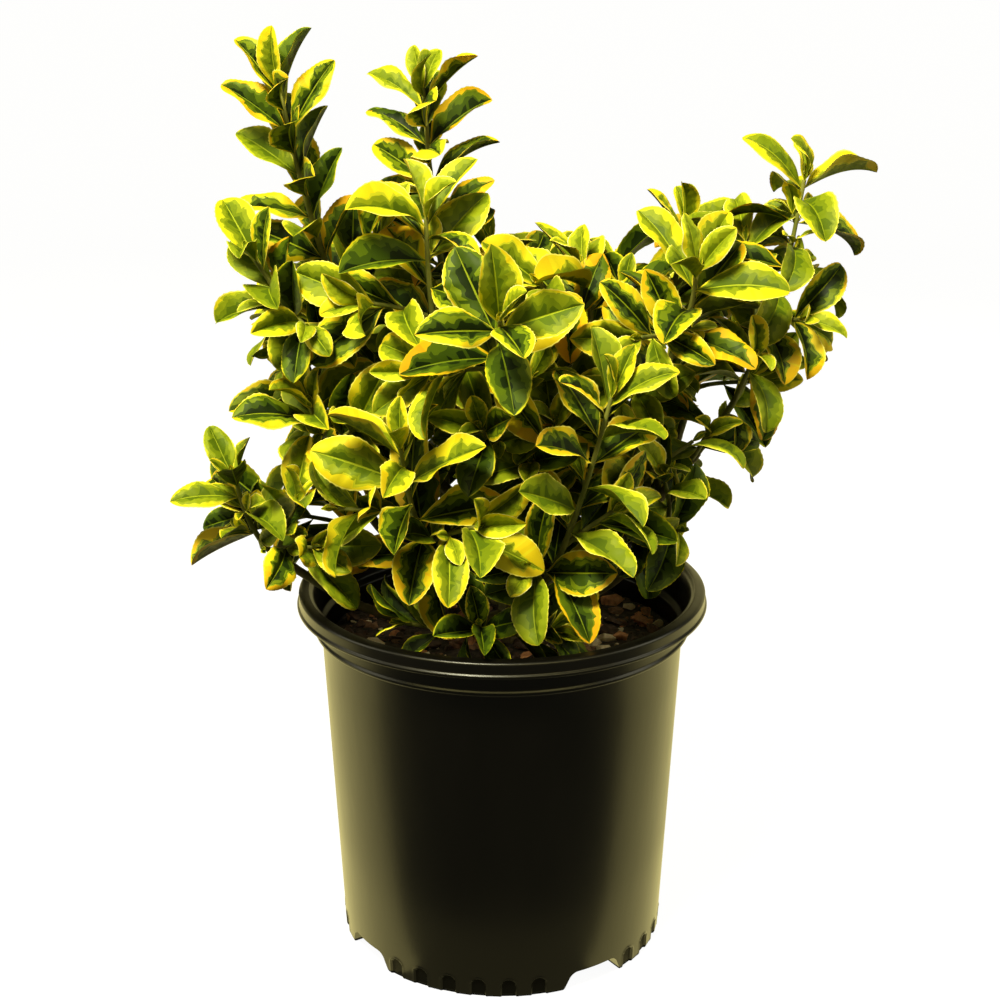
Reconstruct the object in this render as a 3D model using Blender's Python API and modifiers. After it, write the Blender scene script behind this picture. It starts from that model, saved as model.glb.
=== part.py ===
"""A potted golden euonymus: a bushy evergreen shrub with variegated leaves, in a round nursery pot.

The pot is a thin turned shell with a rolled lip, standing on four feet with a drain notch between each two.
It is filled with potting mix. A short main stem stands in the mix and forks into boughs, and each bough
carries one mass of foliage: leafy shoots whose leaves sit in opposite pairs, each pair turned a quarter from
the last. Lengths are in metres, +Z is up, -Y is the front, and the origin is the middle of the pot's underside.
"""

import math
import random

import bmesh
import bpy
from mathutils import Matrix, Vector
from mathutils.bvhtree import BVHTree

# Clearance between pieces that rest on or grow from each other
GAP = 0.0003

# Pot
POT_HEIGHT = 0.2140
POT_WALL = 0.0016
POT_FOOT_RADIUS = 0.0944
POT_TAPER = 0.0503
BAND_BOTTOM = 0.1900
BAND_TOP = 0.2020
BAND_RADIUS = 0.1075
LIP_RADIUS = 0.1175
LIP_BOTTOM = 0.2048
LIP_CREST_RADIUS = 0.1128
NOTCH_HEIGHT = 0.0110
NOTCH_TURNS = (34.0, 124.0, 214.0, 304.0)
NOTCH_HALF_WIDTH = 0.0212
NOTCH_TOP_HALF_WIDTH = 0.0150
NOTCH_INNER_RADIUS = 0.0750
DRAIN_RADIUS = 0.0055
DRAIN_PLACE = 0.0850
POT_SIDES = 28

# Potting mix
SOIL_TOP = 0.1832
SOIL_EDGE = 0.1800
SOIL_FLAT_RADIUS = 0.0300

# Main stem: root flare at the mix, lean, and the fork at its top
STEM_FOOT = (0.004, -0.006, SOIL_TOP + GAP)
STEM_THROUGH = (0.004, -0.004, 0.220)
STEM_TIP = (-0.002, 0.000, 0.252)
STEM_STEPS = 8
STEM_FLARE_RADIUS = 0.0100
STEM_RADIUS = 0.0062
STEM_TIP_RADIUS = 0.0048

BOUGH_STEPS = 3

# Boughs: parent limb, place along it from 0 to 1, a point passed half way, the tip, and the two radii
BOUGHS = {
    "bough_left_tall": ("stem", 0.84, (-0.056, 0.006, 0.300), (-0.088, 0.006, 0.374), 0.0034, 0.0026),
    "bough_centre_tall": ("stem", 1.00, (-0.018, 0.010, 0.306), (-0.030, 0.016, 0.372), 0.0036, 0.0026),
    "bough_front_middle": ("stem", 0.80, (0.002, -0.036, 0.276), (-0.001, -0.052, 0.334), 0.0032, 0.0024),
    "bough_right_middle": ("stem", 0.86, (0.028, 0.001, 0.292), (0.046, 0.000, 0.346), 0.0034, 0.0025),
    "bough_right_tall": ("stem", 0.42, (0.062, 0.003, 0.238), (0.110, 0.002, 0.292), 0.0036, 0.0027),
    "bough_front_right": ("stem", 0.40, (0.012, -0.028, 0.213), (0.020, -0.050, 0.229), 0.0032, 0.0027),
    "bough_front_left": ("stem", 0.46, (-0.012, -0.022, 0.214), (-0.025, -0.038, 0.228), 0.0032, 0.0026),
    "bough_left_low": ("stem", 0.20, (-0.056, -0.016, 0.198), (-0.118, -0.026, 0.234), 0.0032, 0.0024),
    "bough_left_middle": ("stem", 0.52, (-0.050, -0.008, 0.234), (-0.086, -0.012, 0.278), 0.0032, 0.0024),
    "bough_back_left": ("stem", 0.60, (-0.040, 0.044, 0.262), (-0.072, 0.074, 0.318), 0.0034, 0.0025),
    "bough_back_right": ("stem", 0.66, (0.036, 0.050, 0.270), (0.056, 0.084, 0.326), 0.0034, 0.0025),
    "bough_right_low": ("stem", 0.22, (0.044, -0.014, 0.209), (0.080, -0.022, 0.238), 0.0030, 0.0024),
    "bough_front_low": ("stem", 0.12, (-0.001, -0.032, 0.197), (-0.006, -0.052, 0.203), 0.0028, 0.0022),
    "bough_back_low": ("stem", 0.26, (0.004, 0.042, 0.210), (0.002, 0.086, 0.236), 0.0030, 0.0024),
    "bough_left_upper": ("bough_left_tall", 0.50, (-0.084, 0.000, 0.326), (-0.105, -0.006, 0.358), 0.0024, 0.0022),
    "bough_centre_front": ("bough_centre_tall", 0.48, (-0.028, -0.004, 0.324), (-0.034, -0.014, 0.352), 0.0026, 0.0022),
    "bough_right_back": ("bough_right_middle", 0.44, (0.058, 0.018, 0.322), (0.088, 0.034, 0.362), 0.0025, 0.0022),
    "bough_right_upper": ("bough_right_middle", 0.60, (0.062, -0.008, 0.314), (0.082, -0.014, 0.336), 0.0024, 0.0021),
    "bough_right_front": ("bough_right_tall", 0.52, (0.070, -0.014, 0.252), (0.074, -0.028, 0.272), 0.0024, 0.0021),
    "bough_right_far": ("bough_right_tall", 0.62, (0.094, 0.030, 0.268), (0.108, 0.054, 0.300), 0.0024, 0.0021),
    "bough_back_middle": ("bough_centre_tall", 0.36, (-0.014, 0.040, 0.312), (-0.010, 0.064, 0.348), 0.0026, 0.0022),
    "bough_left_far": ("bough_back_left", 0.50, (-0.070, 0.046, 0.266), (-0.100, 0.046, 0.290), 0.0025, 0.0022),
    "bough_inner_front": ("stem", 0.68, (0.014, -0.018, 0.258), (0.022, -0.030, 0.284), 0.0028, 0.0022),
    "bough_left_rim": ("stem", 0.30, (-0.040, 0.022, 0.207), (-0.078, 0.040, 0.226), 0.0030, 0.0024),
    "bough_right_rim": ("stem", 0.34, (0.040, 0.026, 0.212), (0.072, 0.050, 0.232), 0.0030, 0.0024),
    "bough_inner_back": ("stem", 0.74, (0.010, 0.022, 0.268), (0.018, 0.038, 0.296), 0.0028, 0.0022),
    "bough_back_far": ("bough_back_right", 0.40, (0.034, 0.080, 0.262), (0.038, 0.106, 0.284), 0.0025, 0.0022),
}

# Foliage: each mass names its bough and its shoots. A shoot has the place along the mass's first shoot that it
# leaves from (None for the first, which starts at the bough's tip), its tip, the length of its grown leaves,
# the turn of its youngest pair of leaves from the left-right line, and how much wider than usual its leaves
# spread, both in degrees.
MASSES = {
    "foliage_front_middle": ("bough_front_middle", (
        (None, (-0.001, -0.096, 0.390), 0.053, 20, 0),
        (0.30, (-0.040, -0.076, 0.358), 0.049, 60, 0),
    )),
    "foliage_right_spire": ("bough_right_tall", (
        (None, (0.164, 0.010, 0.444), 0.050, 95, 4),
        (0.22, (0.136, -0.022, 0.352), 0.048, 120, -10),
        (0.35, (0.134, 0.014, 0.410), 0.052, 75, 0),
        (0.50, (0.162, -0.014, 0.372), 0.046, 45, 0),
    )),
    "foliage_left_spire": ("bough_left_tall", (
        (None, (-0.119, 0.010, 0.492), 0.048, 95, 0),
        (0.10, (-0.066, 0.020, 0.413), 0.049, 50, 15),
    )),
    "foliage_centre_spire": ("bough_centre_tall", (
        (None, (-0.043, 0.030, 0.491), 0.044, 170, 0),
        (0.20, (-0.016, 0.034, 0.366), 0.046, 40, 0),
    )),
    "foliage_front_left": ("bough_front_left", (
        (None, (-0.052, -0.090, 0.322), 0.051, 75, 0),
        (0.35, (-0.014, -0.092, 0.280), 0.051, 20, 0),
        (0.55, (-0.086, -0.080, 0.286), 0.046, 50, 0),
    )),
    "foliage_front_right": ("bough_front_right", (
        (None, (0.056, -0.086, 0.348), 0.049, 45, 0),
        (0.30, (0.058, -0.084, 0.286), 0.049, 10, 0),
        (0.12, (0.014, -0.086, 0.256), 0.046, 40, 0),
    )),
    "foliage_centre_front": ("bough_centre_front", (
        (None, (-0.040, -0.028, 0.430), 0.054, 120, 10),
        (0.25, (-0.071, -0.044, 0.388), 0.051, 0, 0),
    )),
    "foliage_right_upper": ("bough_right_upper", (
        (None, (0.104, -0.028, 0.402), 0.053, 150, 0),
        (0.40, (0.072, -0.056, 0.372), 0.046, 20, 0),
    )),
    "foliage_left_low": ("bough_left_low", (
        (None, (-0.145, -0.038, 0.289), 0.042, 30, 10),
        (0.20, (-0.102, -0.056, 0.256), 0.049, 165, 0),
        (0.10, (-0.112, -0.040, 0.276), 0.048, 20, 0),
        (0.35, (-0.130, -0.052, 0.254), 0.038, 135, 10),
    )),
    "foliage_left_middle": ("bough_left_middle", (
        (None, (-0.103, -0.032, 0.328), 0.049, 15, 0),
        (0.35, (-0.076, -0.050, 0.322), 0.049, 30, 0),
    )),
    "foliage_right_middle": ("bough_right_middle", (
        (None, (0.044, 0.004, 0.396), 0.048, 60, 0),
        (0.25, (0.020, -0.024, 0.394), 0.049, 0, 0),
    )),
    "foliage_left_upper": ("bough_left_upper", (
        (None, (-0.134, -0.016, 0.408), 0.046, 0, -10),
        (0.25, (-0.104, -0.038, 0.374), 0.046, 50, 0),
    )),
    "foliage_right_back": ("bough_right_back", (
        (None, (0.103, 0.044, 0.415), 0.042, 165, -10),
        (0.30, (0.134, 0.060, 0.398), 0.049, 45, 0),
    )),
    "foliage_right_low": ("bough_right_low", (
        (None, (0.087, -0.047, 0.293), 0.047, 135, 0),
        (0.30, (0.097, -0.046, 0.262), 0.046, 120, 10),
    )),
    "foliage_right_front": ("bough_right_front", (
        (None, (0.069, -0.050, 0.314), 0.049, 80, 10),
        (0.30, (0.104, -0.030, 0.308), 0.044, 15, 0),
    )),
    "foliage_front_low": ("bough_front_low", (
        (None, (-0.012, -0.088, 0.224), 0.042, 0, 0),
        (0.20, (0.028, -0.078, 0.216), 0.042, 40, 0),
        (0.15, (-0.052, -0.076, 0.220), 0.042, 80, 0),
    )),
    "foliage_inner_front": ("bough_inner_front", (
        (None, (0.028, -0.050, 0.322), 0.048, 30, 0),
        (0.20, (0.016, -0.066, 0.308), 0.046, 70, 0),
        (0.10, (0.050, -0.030, 0.272), 0.046, 10, 0),
    )),
    "foliage_inner_back": ("bough_inner_back", (
        (None, (0.030, 0.050, 0.342), 0.048, 60, 0),
        (0.20, (0.002, 0.066, 0.314), 0.046, 20, 0),
    )),
    "foliage_left_rim": ("bough_left_rim", (
        (None, (-0.116, 0.062, 0.256), 0.048, 30, 0),
        (0.20, (-0.142, 0.020, 0.252), 0.048, 60, 0),
    )),
    "foliage_right_rim": ("bough_right_rim", (
        (None, (0.100, 0.074, 0.280), 0.048, 0, 0),
        (0.20, (0.104, 0.030, 0.270), 0.046, 90, 0),
    )),
    "foliage_back_left": ("bough_back_left", (
        (None, (-0.092, 0.098, 0.376), 0.051, 45, 0),
        (0.20, (-0.122, 0.074, 0.352), 0.049, 120, 0),
        (0.30, (-0.054, 0.108, 0.352), 0.046, 45, 0),
    )),
    "foliage_back_right": ("bough_back_right", (
        (None, (0.068, 0.108, 0.379), 0.046, 45, 0),
        (0.20, (0.095, 0.100, 0.356), 0.049, 20, 0),
    )),
    "foliage_back_middle": ("bough_back_middle", (
        (None, (-0.006, 0.086, 0.398), 0.046, 30, 0),
        (0.30, (0.030, 0.070, 0.379), 0.046, 55, 0),
        (0.25, (-0.048, 0.070, 0.392), 0.046, 120, 0),
    )),
    "foliage_right_far": ("bough_right_far", (
        (None, (0.136, 0.074, 0.346), 0.049, 30, 0),
        (0.25, (0.146, 0.036, 0.324), 0.046, 80, 0),
    )),
    "foliage_left_far": ("bough_left_far", (
        (None, (-0.118, 0.056, 0.330), 0.049, 75, 0),
        (0.25, (-0.115, 0.024, 0.318), 0.046, 0, 0),
    )),
    "foliage_back_far": ("bough_back_far", (
        (None, (0.048, 0.140, 0.318), 0.049, 0, 0),
        (0.25, (0.088, 0.118, 0.296), 0.046, 45, 0),
    )),
    "foliage_back_low": ("bough_back_low", (
        (None, (0.000, 0.128, 0.276), 0.049, 50, 0),
        (0.25, (-0.048, 0.112, 0.270), 0.049, 15, 0),
    )),
}

# Twigs are three-sided, with the area of a round twig
TWIG_RADIUS = 0.0022
TWIG_TIP_RADIUS = 0.0011
SIDE_TWIG_RADIUS = 0.0016
TWIG_CORNER = math.sqrt(4 * math.pi / (3 * math.sqrt(3)))
TWIG_STEPS = 4
STRAIGHT_START = 0.0020
SHOOT_RISE = 0.40
SIDE_SHOOT_RISE = 0.15

# How leaves grow: depths below the shoot's tip, where INTERNODE is a share of the leaf's length, and how size,
# spread and droop grow with a pair's age
FIRST_DEPTH = 0.002
FIRST_STEP = 0.004
STEP_GROWTH = 1.9
INTERNODE = 0.30
BARE_FOOT = 0.008
YOUNGEST_SIZE = 0.44
SIZE_RATE = 0.95
YOUNGEST_SPREAD = 10.0
OLDEST_SPREAD = 60.0
SPREAD_RATE = 0.48
DROOP_RATE = 0.03

# A leaf blade, as shares of its length or in degrees
LEAF_HALF_WIDTH = 0.290
LEAF_WIDEST = 0.58
LEAF_BLUNTNESS = 0.82
PETIOLE = 0.10
LEAF_FOOT = 0.14
PETIOLE_HALF_WIDTH = 0.016
LEAF_BEND = 54.0
LEAF_FOLD = 19.0
LEAF_ROLL = 24.0
LIT_SHARE = 0.75
LEAST_LIGHT = 0.2
SIDE_LIGHT = 0.6
FRONT_LIGHT = 0.9
BACK_START = 0.050
BACK_FULL = 0.080
CROWN_MIDDLE = (0.0, 0.05)
LEAF_THICKNESS = 0.0012
FACET_WIDTH = 1.12
FACET_PLACES = (0.50, 0.94)
ROOT_DEPTH = 0.0008
BLADE_STATIONS = 24
CLEARANCE = 0.0006

# How much leaves differ: turn, spread and roll in degrees either way, and ranges for the shares
TURN_PLAY = 10.0
SPREAD_PLAY = 7.0
LENGTH_RANGE = (0.92, 1.08)
WIDTH_RANGE = (0.90, 1.10)
BEND_RANGE = (0.45, 1.35)
FOLD_RANGE = (0.60, 1.30)

# Ways to turn, spread and shrink a leaf until it touches nothing
LEAF_TRIES = (
    (0, 0, 1.00), (14, 0, 1.00), (-14, 0, 1.00), (0, -12, 1.00), (0, 12, 1.00),
    (24, -10, 0.92), (-24, -10, 0.92), (0, -22, 0.86), (30, 8, 0.82), (-30, 8, 0.82),
    (0, 0, 0.72), (20, -24, 0.68), (-20, -24, 0.68),
)


# Growth: paths of limbs and shoots

def curve_through(start, through, end, steps):
    """Points of a parabola that passes a given point half way."""
    start, through, end = Vector(start), Vector(through), Vector(end)
    bend = through * 2 - (start + end) / 2
    points = []
    for step in range(steps + 1):
        t = step / steps
        points.append(start * (1 - t) ** 2 + bend * 2 * t * (1 - t) + end * t ** 2)
    return points


def point_along(path, share):
    """The point at a share of a path's length, and the direction there."""
    lengths = [(b - a).length for a, b in zip(path, path[1:])]
    left = share * sum(lengths)
    for a, b, length in zip(path, path[1:], lengths):
        if left <= length:
            return a.lerp(b, left / length), (b - a).normalized()
        left -= length
    return path[-1].copy(), (path[-1] - path[-2]).normalized()


def path_length(path):
    return sum((b - a).length for a, b in zip(path, path[1:]))


def tapered(path, first, last):
    """Radii that run evenly from one end's to the other's."""
    count = len(path) - 1
    return [first + (last - first) * step / count for step in range(count + 1)]


def limb_paths():
    """Path and radii of the main stem and every bough, parents first."""
    foot = Vector(STEM_FOOT)
    stem = [foot] + curve_through(foot + Vector((0, 0, STRAIGHT_START)), STEM_THROUGH, STEM_TIP, STEM_STEPS)
    radii = []
    for step in range(len(stem)):
        t = step / (len(stem) - 1)
        shaft = STEM_RADIUS + (STEM_TIP_RADIUS - STEM_RADIUS) * t
        radii.append(shaft + (STEM_FLARE_RADIUS - STEM_RADIUS) * (1 - t) ** 5)
    limbs = {"stem": (stem, radii)}
    for name, (parent, share, through, tip, base_radius, tip_radius) in BOUGHS.items():
        start, _ = point_along(limbs[parent][0], share)
        path = curve_through(start, through, tip, BOUGH_STEPS)
        limbs[name] = (path, tapered(path, base_radius, tip_radius))
    return limbs


def shoot_paths(limbs):
    """For each mass, the path and radii of its shoots. The first goes on from its bough's tip, a gap away."""
    masses = {}
    for name, (bough, shoots) in MASSES.items():
        paths = []
        for share, tip, leaf_length, turn, opening in shoots:
            tip = Vector(tip)
            if share is None:
                _, heading = point_along(limbs[bough][0], 1.0)
                start = limbs[bough][0][-1] + heading * GAP
                radius = TWIG_RADIUS
                rise = SHOOT_RISE
            else:
                start, heading = point_along(paths[0][0], share)
                radius = SIDE_TWIG_RADIUS
                rise = SIDE_SHOOT_RISE
            path = []
            if share is None:
                path.append(start)
                start = start + heading * STRAIGHT_START
            bend = start + heading * (tip - start).length * rise
            for step in range(TWIG_STEPS + 1):
                t = step / TWIG_STEPS
                path.append(start * (1 - t) ** 2 + bend * 2 * t * (1 - t) + tip * t ** 2)
            paths.append((path, tapered(path, radius, TWIG_TIP_RADIUS), leaf_length, turn, opening))
        masses[name] = paths
    return masses


# Growth: one leaf

class Leaf:
    """A leaf's place and measures. Its blade bends back along its length and is folded along its rib."""

    def __init__(self, root, heading, face, length, width, bend, fold, age):
        self.root = root
        self.heading = heading.normalized()
        self.face = (face - self.heading * face.dot(self.heading)).normalized()
        self.side = self.heading.cross(self.face)
        self.length = length
        self.half_width = length * width
        self.bend = math.radians(bend)
        self.fold = math.radians(fold)
        self.age = age
        self.rib = self.rib_line()

    def rib_line(self):
        """Points and upward directions along the rib, from the twig to the leaf's tip."""
        point = self.root.copy()
        line = []
        for station in range(BLADE_STATIONS + 1):
            s = station / BLADE_STATIONS
            turn = self.bend * (0.3 * s + 0.7 * s * s)
            along = self.heading * math.cos(turn) - self.face * math.sin(turn)
            up = self.face * math.cos(turn) + self.heading * math.sin(turn)
            line.append((point.copy(), up))
            point += along * self.length / BLADE_STATIONS
        return line

    def half_width_at(self, s):
        """Half the blade's width at a share of the leaf's length."""
        if s <= PETIOLE:
            return self.length * PETIOLE_HALF_WIDTH
        blade = (s - PETIOLE) / (1 - PETIOLE)
        power = math.log(0.5) / math.log(LEAF_WIDEST)
        swell = math.sin(math.pi * min(blade ** power, 1.0))
        return self.length * PETIOLE_HALF_WIDTH * (1 - blade) + self.half_width * max(swell, 0.0) ** LEAF_BLUNTNESS

    def point(self, s, across, lift=0.0):
        """A point of the blade: s along it, across from -1 at one edge to 1 at the other, lift off its face."""
        place = min(s, 1.0) * BLADE_STATIONS
        low = min(int(place), BLADE_STATIONS - 1)
        share = place - low
        (a, up_a), (b, up_b) = self.rib[low], self.rib[low + 1]
        up = up_a.lerp(up_b, share).normalized()
        reach = self.half_width_at(s)
        out = self.side * (across * reach * math.cos(self.fold))
        return a.lerp(b, share) + out + up * (abs(across) * reach * math.sin(self.fold) + lift)


def leaf_solid(leaf, first, grow=0.0):
    """Corners and faces of a leaf as a closed blade of 10 triangles, from a share of its length on."""
    half = LEAF_THICKNESS / 2 + grow
    wide = FACET_WIDTH + grow / leaf.half_width
    broad, narrow = FACET_PLACES
    corners = [
        leaf.point(first, 0),
        leaf.point(broad, -wide),
        leaf.point(narrow, -wide),
        leaf.point(narrow, wide),
        leaf.point(broad, wide),
        leaf.point(broad, 0, half),
        leaf.point(broad, 0, -half),
    ]
    if first == 0.0:
        corners[0] -= leaf.heading * ROOT_DEPTH
    faces = [(0, 5, 1), (1, 5, 2), (2, 5, 3), (3, 5, 4), (4, 5, 0)]
    faces += [(0, 1, 6), (1, 2, 6), (2, 3, 6), (3, 4, 6), (4, 0, 6)]
    return corners, faces


def sleeve(path, radii, grow):
    """Corners and faces of a five-sided sleeve round a path, to test what touches it."""
    corners, faces = [], []
    sides = 5
    for index, (point, radius) in enumerate(zip(path, radii)):
        along = (path[min(index + 1, len(path) - 1)] - path[max(index - 1, 0)]).normalized()
        across = along.orthogonal().normalized()
        other = along.cross(across)
        for side in range(sides):
            angle = math.tau * side / sides
            corners.append(point + (across * math.cos(angle) + other * math.sin(angle)) * (radius + grow))
    for index in range(len(path) - 1):
        for side in range(sides):
            a = index * sides + side
            b = index * sides + (side + 1) % sides
            faces.append((a, b, b + sides, a + sides))
    return corners, faces


# Growth: leaves that keep clear of the pot, the limbs and each other

class Thicket:
    """What already stands, for each new leaf to keep clear of."""

    def __init__(self):
        self.things = []

    def add(self, owner, corners, faces):
        middle = sum(corners, Vector()) / len(corners)
        reach = max((corner - middle).length for corner in corners)
        self.things.append((owner, middle, reach, BVHTree.FromPolygons(corners, faces)))

    def touched_by(self, owner, leaf):
        """Whether a leaf touches anything, apart from its foot, which may touch what is on its own shoot."""
        whole, faces = leaf_solid(leaf, 0.0, CLEARANCE)
        blade, _ = leaf_solid(leaf, LEAF_FOOT, CLEARANCE)
        middle = sum(whole, Vector()) / len(whole)
        reach = max((corner - middle).length for corner in whole)
        whole_tree = BVHTree.FromPolygons(whole, faces)
        blade_tree = BVHTree.FromPolygons(blade, faces)
        for other_owner, other_middle, other_reach, other_tree in self.things:
            if (other_middle - middle).length > reach + other_reach:
                continue
            tree = blade_tree if other_owner == owner else whole_tree
            if tree.overlap(other_tree):
                return True
        return False


def clear_of_pot(leaf):
    """Whether a leaf stays above the mix and off the pot's wall and lip."""
    margin = 0.0015
    stations = 12
    for station in range(1, stations + 1):
        s = station / stations
        for across in (-1, -0.5, 0, 0.5, 1):
            point = leaf.point(s, across)
            radius = math.hypot(point.x, point.y)
            if point.z > POT_HEIGHT + margin:
                continue
            if radius > LIP_RADIUS + margin and point.z > 0:
                continue
            if point.z < SOIL_TOP + margin or radius > wall_radius(SOIL_TOP) - POT_WALL - margin:
                return False
    return True


def wall_radius(height):
    """Outer radius of the pot's wall at a height."""
    return POT_FOOT_RADIUS + POT_TAPER * height


def leaf_pairs(length, leaf_length):
    """Depth below the tip, share of full size, and spread of each pair of a shoot, youngest first."""
    depth, step, age = FIRST_DEPTH, FIRST_STEP, 0
    while depth < length - BARE_FOOT:
        size = 1 - (1 - YOUNGEST_SIZE) * math.exp(-SIZE_RATE * age)
        spread = OLDEST_SPREAD - (OLDEST_SPREAD - YOUNGEST_SPREAD) * math.exp(-SPREAD_RATE * age)
        yield age, depth, size, spread
        depth += step
        step = min(step * STEP_GROWTH, INTERNODE * leaf_length)
        age += 1


def light_at(root):
    """Where a leaf's light comes from: above, outside the crown, and in front unless the leaf is at the back."""
    outside = Vector((root.x - CROWN_MIDDLE[0], root.y - CROWN_MIDDLE[1], 0)).normalized()
    front = (BACK_FULL - root.y) / (BACK_FULL - BACK_START)
    front = max(0.0, min(front, 1.0))
    return outside * SIDE_LIGHT + Vector((0, -FRONT_LIGHT * front, 1))


def aim_leaf(root, axis, turn, spread, droop, roll):
    """Heading and face of a leaf that leaves its twig at a turn and a spread, and turns its face to the light."""
    level = Vector((0, 1, 0)).cross(axis).normalized()
    other = axis.cross(level)
    outward = level * math.cos(turn) + other * math.sin(turn)
    heading = axis * math.cos(spread) + outward * math.sin(spread)
    heading = (heading - Vector((0, 0, droop))).normalized()
    face = axis * math.sin(spread) - outward * math.cos(spread)
    light = light_at(root)
    light -= heading * light.dot(heading)
    if light.length > LEAST_LIGHT:
        face = face.lerp(light.normalized(), LIT_SHARE)
    face = Matrix.Rotation(math.radians(roll), 3, heading) @ face
    return heading, face


def grow_leaves(limbs, masses):
    """Lay out every leaf in turn, and keep those that touch nothing."""
    thicket = Thicket()
    for name, (path, radii) in limbs.items():
        thicket.add(name, *sleeve(path, radii, CLEARANCE))
    for name, shoots in masses.items():
        for number, (path, radii, _, _, _) in enumerate(shoots):
            corner_radii = [radius * TWIG_CORNER for radius in radii]
            thicket.add((name, number), *sleeve(path, corner_radii, CLEARANCE))
    leaves = {}
    for name, shoots in masses.items():
        leaves[name] = []
        for number, (path, radii, leaf_length, turn, opening) in enumerate(shoots):
            length = path_length(path)
            for age, depth, size, spread in leaf_pairs(length, leaf_length):
                root, axis = point_along(path, 1 - depth / length)
                for half in (0, 1):
                    dice = random.Random(f"{name} {number} {age} {half}")
                    own_turn = turn + 90 * age + 180 * half + dice.uniform(-TURN_PLAY, TURN_PLAY)
                    own_spread = spread + opening + dice.uniform(-SPREAD_PLAY, SPREAD_PLAY)
                    own_length = leaf_length * size * dice.uniform(*LENGTH_RANGE)
                    width = LEAF_HALF_WIDTH * dice.uniform(*WIDTH_RANGE)
                    bend = LEAF_BEND * dice.uniform(*BEND_RANGE)
                    fold = LEAF_FOLD * dice.uniform(*FOLD_RANGE)
                    roll = dice.uniform(-LEAF_ROLL, LEAF_ROLL)
                    droop = DROOP_RATE * age
                    for more_turn, more_spread, scale in LEAF_TRIES:
                        heading, face = aim_leaf(
                            root, axis, math.radians(own_turn + more_turn),
                            math.radians(own_spread + more_spread), droop, roll)
                        leaf = Leaf(root, heading, face, own_length * scale, width, bend, fold, age)
                        if not clear_of_pot(leaf):
                            continue
                        if not thicket.touched_by((name, number), leaf):
                            thicket.add((name, number), *leaf_solid(leaf, LEAF_FOOT, CLEARANCE))
                            leaves[name].append(leaf)
                            break
    return leaves


# Blender objects

def collection(name):
    group = bpy.data.collections.new(name)
    bpy.context.scene.collection.children.link(group)
    return group


def material(name, colour, roughness, metallic=0.0):
    """A Principled BSDF with one colour."""
    made = bpy.data.materials.new(name)
    made.use_nodes = True
    shader = made.node_tree.nodes["Principled BSDF"]
    shader.inputs["Base Color"].default_value = (*colour, 1.0)
    shader.inputs["Roughness"].default_value = roughness
    shader.inputs["Metallic"].default_value = metallic
    return made


def place(name, mesh, group, surface=None):
    """Make an object of a mesh in a collection."""
    thing = bpy.data.objects.new(name, mesh)
    group.objects.link(thing)
    if surface is not None:
        mesh.materials.clear()
        mesh.materials.append(surface)
    return thing


def as_guide(thing):
    thing.hide_render = True
    thing.display_type = "WIRE"
    return thing


def evaluated_mesh(thing):
    """An object's mesh after its modifiers."""
    depsgraph = bpy.context.evaluated_depsgraph_get()
    depsgraph.update()
    return bpy.data.meshes.new_from_object(thing.evaluated_get(depsgraph))


def remove_object(thing):
    """Delete an object together with its mesh or curve."""
    data = thing.data
    bpy.data.objects.remove(thing)
    if isinstance(data, bpy.types.Mesh):
        bpy.data.meshes.remove(data)
    elif isinstance(data, bpy.types.Curve):
        bpy.data.curves.remove(data)


def turned(name, profile, group, surface=None):
    """A solid of revolution about Z, from a profile that runs down its outer side."""
    mesh = bpy.data.meshes.new(name)
    corners = [(radius, 0.0, height) for radius, height in profile]
    edges = [(index, index + 1) for index in range(len(corners) - 1)]
    mesh.from_pydata(corners, edges, [])
    thing = place(name, mesh, group, surface)
    screw = thing.modifiers.new("turn", "SCREW")
    screw.steps = POT_SIDES
    screw.render_steps = POT_SIDES
    screw.use_merge_vertices = True
    screw.merge_threshold = 0.00001
    thing.data = evaluated_mesh(thing)
    thing.modifiers.clear()
    bpy.data.meshes.remove(mesh)
    return thing


def cut(thing, cutter, solver="EXACT"):
    """Subtract a cutter from an object, and apply it."""
    before = thing.data
    modifier = thing.modifiers.new("cut", "BOOLEAN")
    modifier.operation = "DIFFERENCE"
    modifier.solver = solver
    modifier.object = cutter
    thing.data = evaluated_mesh(thing)
    thing.modifiers.clear()
    bpy.data.meshes.remove(before)


# Pot and potting mix

def outer_profile():
    """The pot's outside: from the middle of its mouth over the rolled lip and down the wall to its foot."""
    foot_round = 0.0018
    return [
        (0.0, POT_HEIGHT),
        (LIP_CREST_RADIUS, POT_HEIGHT),
        (LIP_RADIUS - 0.0014, POT_HEIGHT - 0.0014),
        (LIP_RADIUS, POT_HEIGHT - 0.0045),
        (LIP_RADIUS - 0.0004, LIP_BOTTOM),
        (LIP_RADIUS - 0.0020, LIP_BOTTOM),
        (LIP_RADIUS - 0.0026, POT_HEIGHT - 0.0044),
        (LIP_CREST_RADIUS - 0.0016, POT_HEIGHT - 0.0024),
        (BAND_RADIUS + 0.0008, POT_HEIGHT - 0.0052),
        (BAND_RADIUS, BAND_TOP),
        (BAND_RADIUS - 0.0006, BAND_BOTTOM + 0.0030),
        (wall_radius(BAND_BOTTOM), BAND_BOTTOM),
        (wall_radius(foot_round), foot_round),
        (wall_radius(0.0) - foot_round, 0.0),
        (0.0, 0.0),
    ]


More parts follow.
